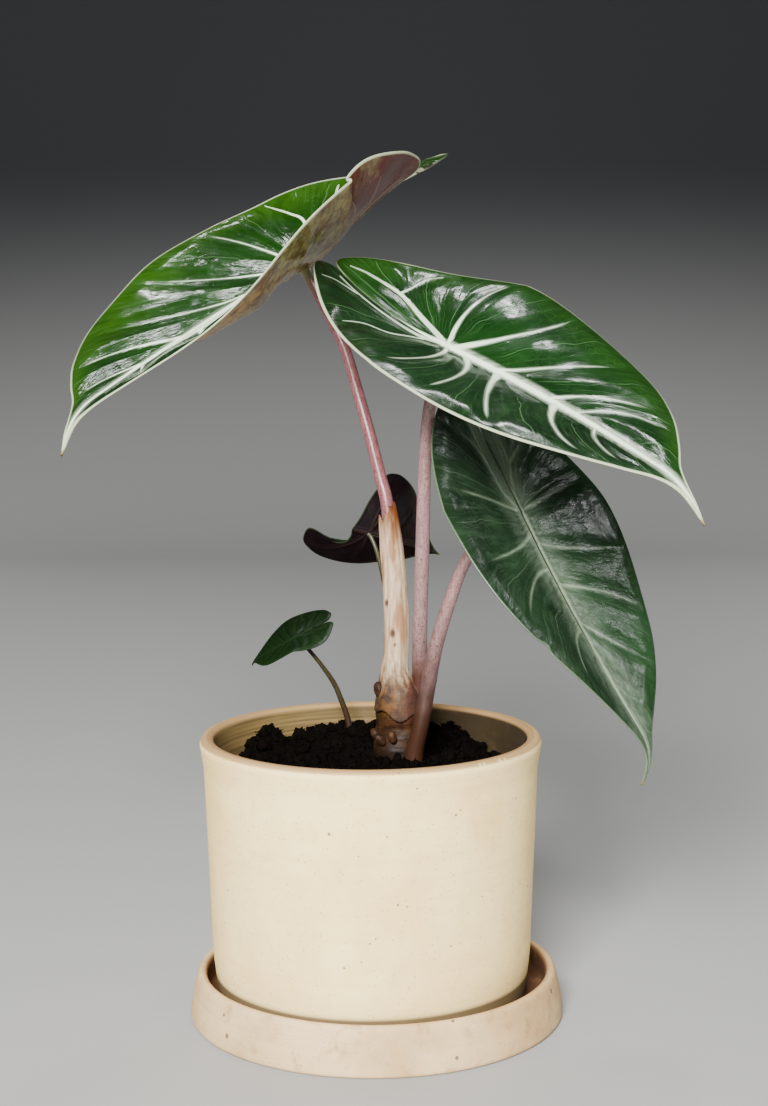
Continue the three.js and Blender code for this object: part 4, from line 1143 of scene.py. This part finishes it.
def bend_to_shape(leaf, half, sign, spine, flat, lift, lift_along_up):
    """Places flat shares in space: folded and curled off the bent midrib, then turned to their pose."""
    along, across = scaled(leaf, half, flat)
    share = along / leaf["front"]
    fold = angle_at(half["fold"], share)
    curl = angle_at(half["curl"], share) / (WIDTH_SHARE * leaf["front"])
    curl = np.where(np.abs(curl) < 1e-9, 1e-9, curl)
    out = (np.sin(fold + curl * across) - np.sin(fold)) / curl
    rise = (np.cos(fold) - np.cos(fold + curl * across)) / curl
    at, point, side, up = spine

    def along_spine(values):
        return stacked(*(np.interp(along, at, values[:, k]) for k in range(3)))

    place = along_spine(point) + along_spine(side) * (sign * out)[..., None]
    place = place + along_spine(up) * (rise + lift + lift_along_up)[..., None]
    turn = (
        Matrix.Rotation(math.radians(leaf["heading"]), 3, "Z")
        @ Matrix.Rotation(-math.radians(leaf["pitch"]), 3, "Y")
        @ Matrix.Rotation(math.radians(leaf["roll"]), 3, "X")
    )
    return place @ np.array(turn).T + leaf["joint"]


def half_rows(veins, fan, count):
    """Rows of a half blade, evenly round its edge: start, bend, edge place and vein count."""
    stops = [(v[0], *v[1], v[2]) for v in veins] + [(0, *bend, place) for bend, place in fan]
    stops = np.array(stops, float)
    numbers = np.arange(len(stops))
    fan_place = np.interp(np.linspace(0, stops[-1, 3], count), stops[:, 3], numbers)
    columns = [np.interp(fan_place, numbers, stops[:, k]) for k in range(4)]
    return stacked(*columns, fan_place)


def row_points(half, rows, shares):
    end = edge_curve(half, rows[:, 3])
    t = shares[None, :, None]
    start = stacked(rows[:, 0], 0.0)[:, None]
    bend = rows[:, 1:3][:, None]
    return (1 - t) ** 2 * start + 2 * t * (1 - t) * bend + t**2 * end[:, None]


def rib_distance(leaf, half, ribs, spots, size):
    """Each rib's signed distance and half width at each spot, and the bare distance to the nearest."""
    bare = np.full(len(spots), 1e9)
    known = {}
    for number in range(RIBS):
        signed, width = np.zeros(len(spots)), np.full(len(spots), OUT_OF_REACH)
        if number < len(ribs):
            base, end = MAIN_RIB if number == 0 else BRANCH_RIB
            line = stacked(*scaled(leaf, half, even_curve(ribs[number], 40)))
            widths = size * np.linspace(base, end, len(line))
            nearest = np.full(len(spots), 1e9)
            last = len(line) - 2
            for k in range(last + 1):
                step = line[k + 1] - line[k]
                offset = spots - line[k]
                t = offset @ step / (step @ step)
                past_end = (k == 0) & (t < 0.0) | (k == last) & (t > 1.0)
                away = np.linalg.norm(offset - np.clip(t, 0, 1)[:, None] * step, axis=1)
                side = np.sign(step[0] * offset[:, 1] - step[1] * offset[:, 0])
                closer = away < nearest
                nearest = np.where(closer, away, nearest)
                signed = np.where(closer, away * side, signed)
                width = np.where(closer, np.where(past_end, OUT_OF_REACH, widths[k]), width)
            bare = np.minimum(bare, nearest)
        known[f"rib_{number}"], known[f"rib_width_{number}"] = signed, width
    return known, bare


def fan_spacing(along, across, fan):
    """Millimetres from one side vein to the next, at each point of the grid of rows."""
    down = np.stack([np.gradient(along, axis=0), np.gradient(across, axis=0)])
    outward = np.stack([np.gradient(along, axis=1), np.gradient(across, axis=1)])
    crossed = np.abs(down[0] * outward[1] - down[1] * outward[0])
    length = np.maximum(np.hypot(outward[0], outward[1]), 1e-6)
    return crossed / length / np.maximum(np.gradient(fan)[:, None], 1e-6)


def side_veins(veins, fan, rows, reach, along, across, size):
    """How far each point lies from its side vein, the vein's half widths there and where it fades."""
    fan_place = rows[:, 4]
    spacing = fan_spacing(along, across, fan_place)
    bases = [vein[3] for vein in veins] + [0] * len(fan)
    base = np.interp(fan_place, np.arange(len(bases)), bases)[:, None]
    fade = smooth((0.98 - reach) / 0.3) * smooth((len(veins) - 0.55 - fan_place) / 0.1)[:, None]
    fade = fade * smooth(base / 0.2)
    profile = 0.2 + 0.8 * (1 - smooth(reach / 0.55))
    lateral = size * base * profile * fade - 0.5 * (1 - fade)
    feather = size * base * 2.0 * (1 - smooth(reach / 0.34)) * fade - 0.5 * (1 - fade)
    lane = np.abs((fan_place[:, None] + 0.5) % 1 - 0.5) * spacing
    return lane.ravel(), spacing.ravel(), lateral.ravel(), feather.ravel(), fade.ravel()


def half_blade(name, leaf, key, sign, spine, shares, row_count, size):
    """One half's middle surface and what its points know: veins, edge and flow along the veins."""
    half = leaf[key]
    veins = LEAF_VEINS.get((name, key), GENERAL_VEINS)
    fan = LOBE_FANS.get((name, key), LOBE_FAN)
    rows = half_rows(veins, fan, row_count)
    flat = row_points(half, rows, shares)
    along, across = scaled(leaf, half, flat)
    spots = stacked(along.ravel(), across.ravel())
    reach = np.ones(len(rows))[:, None] * shares
    ribs = LOBE_RIBS.get((name, key), GENERAL_RIBS)
    rib_known, rib_away = rib_distance(leaf, half, ribs, spots, size)
    lane, spacing, lateral, feather, fade = side_veins(veins, fan, rows, reach, along, across, size)
    side = lateral - lane
    for number in range(RIBS):
        side = np.maximum(side, rib_known[f"rib_width_{number}"] - np.abs(rib_known[f"rib_{number}"]))

    mid_away = spots[:, 1]
    front_share = spots[:, 0] / leaf["front"]
    mid_width = size * np.interp(front_share, *MID_WIDTHS)
    last_edge = len(half["edge"]) - 1
    outline = edge_curve(half, np.linspace(0, last_edge, 400))
    edge_away = distance_to_line(spots, stacked(*scaled(leaf, half, outline)))

    open_blade = np.minimum(np.minimum(lane + 4 * (1 - fade), rib_away), mid_away)
    quilt = leaf["puff"] * smooth(open_blade / (QUILT_FROM_VEIN * leaf["front"]))
    quilt = quilt * smooth(edge_away / (QUILT_FROM_EDGE * leaf["front"]))
    row_share = rows[:, 3:4] / last_edge * np.ones(len(shares))
    waved = leaf["wave_height"] * np.sin(2 * np.pi * leaf["waves"] * row_share) * reach**3
    sagged = 0.0
    if "belly" in half:
        depth, start, stop = half["belly"]
        t = np.clip((flat[..., 0] - start) / (stop - start), 0, 1)
        sagged = depth * np.sin(np.pi * t) * np.sin(np.pi * reach)
    lift = (waved * np.sin(np.pi * row_share) - sagged).ravel()
    rough_spots = stacked(spots[:, 0], sign * spots[:, 1], 0.0)
    scale = leaf["front"] / RIPPLE_FRONT
    ripple = RIPPLE * scale * noise(rough_spots, RIPPLE_SIZE * scale, 71, 2)
    ripple = ripple * smooth(open_blade / 4) * smooth(edge_away / 4)
    place = bend_to_shape(leaf, half, sign, spine, flat.reshape(-1, 2), quilt + ripple, lift)

    open_side = smooth((flat[..., 1].ravel() - 0.012) / 0.05)
    lobe_end = 1 - 0.7 * smooth((-front_share - 0.36) / 0.1)
    behind = smooth(-front_share / 0.06)
    known = {
        **rib_known, "rib_away": rib_away, "side": side, "edge": edge_away, "mid": mid_away - mid_width,
        "rise_width": mid_width, "fan": np.repeat(rows[:, 4], len(shares)), "spacing": spacing,
        "lateral": lateral, "feather": feather, "reach": reach.ravel(), "along": front_share,
        "left": np.full(len(spots), (sign + 1) / 2),
        "margin": size * half.get("margin", 1.0) * (1 - behind + behind * open_side * lobe_end),
    }
    return place, known


def merged_halves(halves, row_count, columns):
    """The two halves as one surface: its points, what they know, and its faces."""
    points = np.vstack([place for place, _ in halves])
    start = (np.arange(row_count - 1)[:, None] * columns + np.arange(columns - 1)).ravel()
    left = stacked(start, start + 1, start + columns + 1, start + columns)
    right = left[:, ::-1] + row_count * columns
    cells = np.round(points * MERGED_PER_MM).astype(np.int64)
    _, kept, merged = np.unique(cells, axis=0, return_index=True, return_inverse=True)
    known = {key: np.concatenate([half[key] for _, half in halves])[kept] for key in halves[0][1]}
    faces = []
    for quad in merged.ravel()[np.vstack([left, right])]:
        corners = list(dict.fromkeys(quad.tolist()))
        if len(corners) > 2:
            faces.append(corners)
    return points[kept], known, faces


def point_normals(points, faces):
    corners = [np.array([face[k] for face in faces]) for k in (0, 1, 2, -1)]
    a, b, c, d = (points[corner] for corner in corners)
    cross = np.cross(b - a, c - a) + np.cross(c - a, d - a)
    normals = np.zeros_like(points)
    for corner in corners:
        np.add.at(normals, corner, cross)
    return unit(normals)


def open_edges(faces):
    """The edges that only one face has, in that face's direction."""
    edges = {}
    for face in faces:
        for a, b in zip(face, face[1:] + face[:1]):
            key = (min(a, b), max(a, b))
            edges[key] = None if key in edges else (a, b)
    return filter(None, edges.values())


def make_leaf(name, look, slot, row_count, columns, vein_size, thickness):
    leaf = LEAVES[name]
    spine = walk_midrib(leaf)
    t = np.linspace(0, 1, columns)
    shares = t - 0.1 * np.sin(2 * np.pi * t) / (2 * np.pi)
    halves = [
        half_blade(name, leaf, key, sign, spine, shares, row_count, vein_size)
        for key, sign in (("left", 1), ("right", -1))
    ]
    points, known, faces = merged_halves(halves, row_count, columns)
    normals = point_normals(points, faces)
    taper = 1 - 0.75 * np.clip(known["along"], 0, 1)
    rib_rise = leaf["rise"] * taper * bell(np.maximum(known["mid"], 0), 1.9 * vein_size)
    side_rise = 0.3 * vein_size * smooth((known["side"] + 0.7) / 1.2)
    thin = thickness * (0.55 + 0.45 * smooth(known["edge"] / 2.0))
    upper = points + normals * (thin + 0.7 * rib_rise + 0.6 * side_rise)[:, None]
    lower = points - normals * (thin + rib_rise + side_rise)[:, None]
    count = len(points)
    skin = [tuple(face) for face in faces] + [tuple(count + k for k in reversed(face)) for face in faces]
    skin += [(a, count + a, count + b, b) for a, b in open_edges(faces)]
    values = {key: np.tile(numbers, 2) for key, numbers in known.items()}
    values["upper"] = np.repeat([1.0, 0.0], count)
    make_piece(name + "_blade", np.vstack([upper, lower]), skin, look, name, slot, values)


def leaf_look(name, tones, gloss, specular, haze=0.0, soft=0.14):
    """A glossy blade: streaks and thin veins along its flow, pale main veins and a pale edge, with painted
    light on its far half and painted sheen on its near half.
    """
    look = Look(name, gloss, specular)
    place = look.place()
    fan, spacing, reach, edge, mid, along, lateral, left = (
        look.attribute(key)
        for key in ("fan", "spacing", "reach", "edge", "mid", "along", "lateral", "left")
    )

    def off_middle(value):
        """How far a value is from the middle between two whole numbers."""
        return look.math("ABSOLUTE", look.math("FRACT", value) - 0.5)

    flow = fan + (look.noise(place, 14, detail=3) - 0.5) * 0.3
    streak = look.noise(look.combine(flow, reach * 0.35), 0.09, detail=4, roughness=0.6)
    broad = look.span(look.noise(place, 24, detail=3), 0.3, 0.7)
    # Painted light: the far half turns yellow-green towards its edge; the near half has its own greyer
    # greens as painted sheen.
    lit_edge = look.span(reach, 0.6, 0.98) * look.span(streak, 0.35, 0.6, 0.4, 1)
    lit_far_green = look.layers(tones.deep, (broad, tones.bright), (lit_edge * 0.55, tones.fresh))
    sheened_near_green = look.blend(broad, tones.near, tones.near_bright)
    halves = (lit_far_green, sheened_near_green) if tones.near_is_left else (sheened_near_green, lit_far_green)
    green = look.blend(left, *halves)
    green = look.blend(look.span(streak, 0.45, 0.68, 0, 0.45), green, tones.streak)

    lane = off_middle(fan + 0.5) * spacing
    open_blade = look.span(reach, 0.12, 0.34)
    thin = look.span(off_middle(flow) * spacing, 0.08, 0.3, 1, 0)
    thin = thin * (open_blade * look.span(reach, 0.9, 0.98, 1, 0))
    fine = look.span(off_middle(flow * 6) * look.math("DIVIDE", spacing, 6), 0.05, 0.22, 0.55, 0)
    fine = fine * look.span(look.noise(place, 8), 0.42, 0.6) * open_blade
    net = look.cells(look.combine(flow, reach * 5), 0.2, "DISTANCE_TO_EDGE")
    net = look.span(net, 0.0, 0.05, 1, 0) * look.span(look.noise(place, 17), 0.4, 0.6)
    lines = look.math("MAXIMUM", fine * 0.5, net * tones.net_strength)
    lines = look.math("MAXIMUM", lines, thin * 0.75)
    wedge = look.attribute("feather") - lane + (streak - 0.5) * 3.5
    top = look.layers(
        green,
        (lines * tones.line_strength, tones.thin_vein),
        (look.span(wedge, -0.3, 1.2, 0, 0.6), tones.vein),
    )
    if haze:
        cloud = look.span(mid, 1, 16, 0.9, 0) + look.span(look.attribute("rib_away"), 0, 7, 0.5, 0)
        top = look.blend(cloud * look.span(streak, 0.3, 0.65, 0.35, 1) * haze, top, tones.haze)

    side = lateral - lane
    for number in range(RIBS):
        away = look.math("ABSOLUTE", look.attribute(f"rib_{number}"))
        side = look.math("MAXIMUM", side, look.attribute(f"rib_width_{number}") - away)
    near_vein = look.span(side, -1.3, 0.1, 0, 0.4) * look.span(lateral, -0.2, 0.2)
    near_rib = look.span(mid, 0, 2.4, 0.55, 0) * look.span(along, -0.06, 0.04)
    glow = look.math("MAXIMUM", near_vein, near_rib) * look.span(streak, 0.3, 0.6, 0.35, 1)
    uneven = (look.noise(place, 5, detail=3) - 0.5) * 0.5
    side = look.span(side + uneven, -soft, soft) * look.span(reach, 0.5, 0.95, 1, 0.5)
    groove = look.span(mid + look.attribute("rise_width"), 0.15, tones.groove_width, 1, 0)
    groove = groove * look.span(along, 0.45, 0.7, 1, 0)
    lobe = look.span(along, tones.lobe_end - 0.12, tones.lobe_end, 1, 0)
    past_margin = edge - look.attribute("margin")
    rim = look.span(past_margin, -0.5, 0.25, 1, 0) * (1.0 - lobe * 0.6)
    top = look.layers(
        top,
        (glow * tones.glow, tones.vein),
        (side * tones.side_strength, tones.vein),
        (look.span(mid + uneven * 0.5, -0.6, 0.25, 1, 0), tones.vein),
        (groove * tones.groove_strength, tones.groove),
        (lobe * 0.8, tones.lobe),
        (rim * tones.rim_strength, tones.rim),
    )

    patch = look.noise(place, 10, detail=5, roughness=0.65)
    wide = look.noise(place, 22, detail=4, roughness=0.6)
    cell = look.cells(look.combine(flow * 3, reach * 7), 0.5, "DISTANCE_TO_EDGE")
    under_vein = look.math("MAXIMUM", side, look.span(mid, -0.3, 0.5, 1, 0))
    below = look.layers(
        tones.under_lobe,
        (look.span(along, -0.2, 0.12), tones.under_middle),
        (look.span(along, 0.3, 0.62), tones.under_tip),
        (look.span(wide, 0.5, 0.62, 0, 0.6), tones.under_light),
        (look.span(patch, 0.44, 0.62, 0, 0.7), tones.under_patch),
        (look.span(cell, 0.02, 0.12, 0.4, 0), tones.under_patch),
        (under_vein * 0.75, tones.under_vein),
        (look.span(past_margin, -0.2, 0.3, 1, 0) * 0.9, tones.rim),
    )
    colour = look.blend(look.attribute("upper"), below, top)
    colour = look.blend(look.span(along, 0.975, 0.995, 0, 0.85), colour, tones.tip)

    normal = look.bump(look.noise(look.combine(flow, reach), 0.09), 0.5, tones.ripple)
    normal = look.bump(look.noise(place, 3.5, detail=1), 0.3, 0.12, normal)
    normal = look.bump(lines, 0.1, 0.15, normal)
    roughness = look.span(look.noise(place, 6, detail=3), 0.3, 0.7, gloss, gloss + 0.08)
    return look.finish(colour, roughness, normal)


def leaf_tones(**changes):
    """The colours and strengths of a blade's markings, most of them shared between the leaves."""
    tones = dict(
        # near and near_bright are the near half's greens, greyer as painted sheen; fresh is the painted
        # light towards the far half's edge.
        deep=(8, 30, 8), bright=(13, 43, 11), fresh=(30, 62, 9), near=(9, 25, 10),
        near_bright=(16, 36, 16), near_is_left=False, streak=(24, 54, 20), line_strength=0.55,
        net_strength=0.16, thin_vein=(78, 108, 70), vein=(200, 216, 188), side_strength=0.92,
        haze=(84, 98, 80), glow=0.8, ripple=0.4, lobe=(14, 28, 10), lobe_end=-2.0,
        groove=(84, 116, 60), groove_strength=0.5, groove_width=0.5, rim=(160, 168, 138),
        rim_strength=1.0, tip=(110, 92, 40), under_lobe=(92, 54, 48), under_middle=(146, 134, 80),
        under_tip=(214, 150, 30), under_light=(126, 118, 78), under_patch=(78, 34, 24),
        under_vein=(150, 130, 96),
    )
    return SimpleNamespace(**{**tones, **changes})


def make_leaves():
    fresh = leaf_tones(
        deep=(9, 34, 4), bright=(16, 50, 6), fresh=(46, 80, 8), near_is_left=True, lobe_end=-0.3, glow=0.35
    )
    deep = leaf_tones(under_tip=(150, 138, 92), side_strength=0.72, ripple=0.2)
    grey = leaf_tones(
        deep=(18, 36, 18), bright=(30, 52, 30), fresh=(22, 54, 18), near=(15, 29, 16),
        near_bright=(25, 43, 25), streak=(42, 60, 42), line_strength=0.4, thin_vein=(86, 100, 82),
        vein=(120, 134, 110), side_strength=0.5, groove=(20, 26, 6), groove_strength=0.95,
        groove_width=1.7, rim=(86, 102, 80), rim_strength=0.7, under_tip=(130, 122, 86),
    )
    dark = leaf_tones(
        deep=(8, 24, 10), bright=(11, 30, 14), fresh=(14, 36, 14), near=(8, 24, 10),
        near_bright=(11, 30, 14), streak=(12, 32, 14), thin_vein=(36, 50, 34), vein=(60, 76, 52),
        rim=(38, 50, 30), tip=(110, 122, 20), groove_strength=0, under_lobe=(18, 9, 11),
        under_middle=(14, 7, 9), under_tip=(24, 16, 12), under_light=(14, 7, 9),
        under_patch=(10, 5, 6), under_vein=(30, 20, 18),
    )
    young = leaf_tones(
        deep=(5, 16, 3), bright=(9, 26, 5), fresh=(14, 36, 7), near=(5, 16, 3), near_bright=(9, 26, 5),
        streak=(10, 28, 6), thin_vein=(14, 34, 9), tip=(24, 44, 12), vein=(14, 30, 10),
        rim=(16, 32, 12), rim_strength=0.6, groove_strength=0, under_lobe=(22, 34, 16),
        under_middle=(22, 34, 16), under_tip=(22, 34, 16), under_patch=(18, 28, 12),
        under_light=(22, 34, 16),
    )
    fresh_leaf = leaf_look("fresh_leaf_skin", fresh, 0.13, 0.13)
    deep_leaf = leaf_look("deep_leaf_skin", deep, 0.17, 0.2, soft=0.3)
    grey_leaf = leaf_look("grey_leaf_skin", grey, 0.2, 0.14, haze=0.85, soft=0.6)
    dark_leaf = leaf_look("dark_leaf_skin", dark, 0.5, 0.03)
    young_leaf = leaf_look("young_leaf_skin", young, 0.4, 0.12)
    make_leaf("leaf_a", fresh_leaf, "leaf", 280, 62, 1.0, 0.45)
    make_leaf("leaf_b", deep_leaf, "leaf", 280, 62, 1.0, 0.45)
    make_leaf("leaf_c", grey_leaf, "grey_leaf", 264, 60, 0.8, 0.45)
    make_leaf("leaf_d", dark_leaf, "dark_leaf", 140, 36, 0.35, 0.42)
    make_leaf("leaf_e", young_leaf, "leaf", 140, 36, 0.35, 0.42)


make_camera()
make_floor()
make_lights()
make_pot()
make_saucer()
make_soil()
make_crumbs()
make_stalks()
make_corm()
make_sheath()
make_leaves()
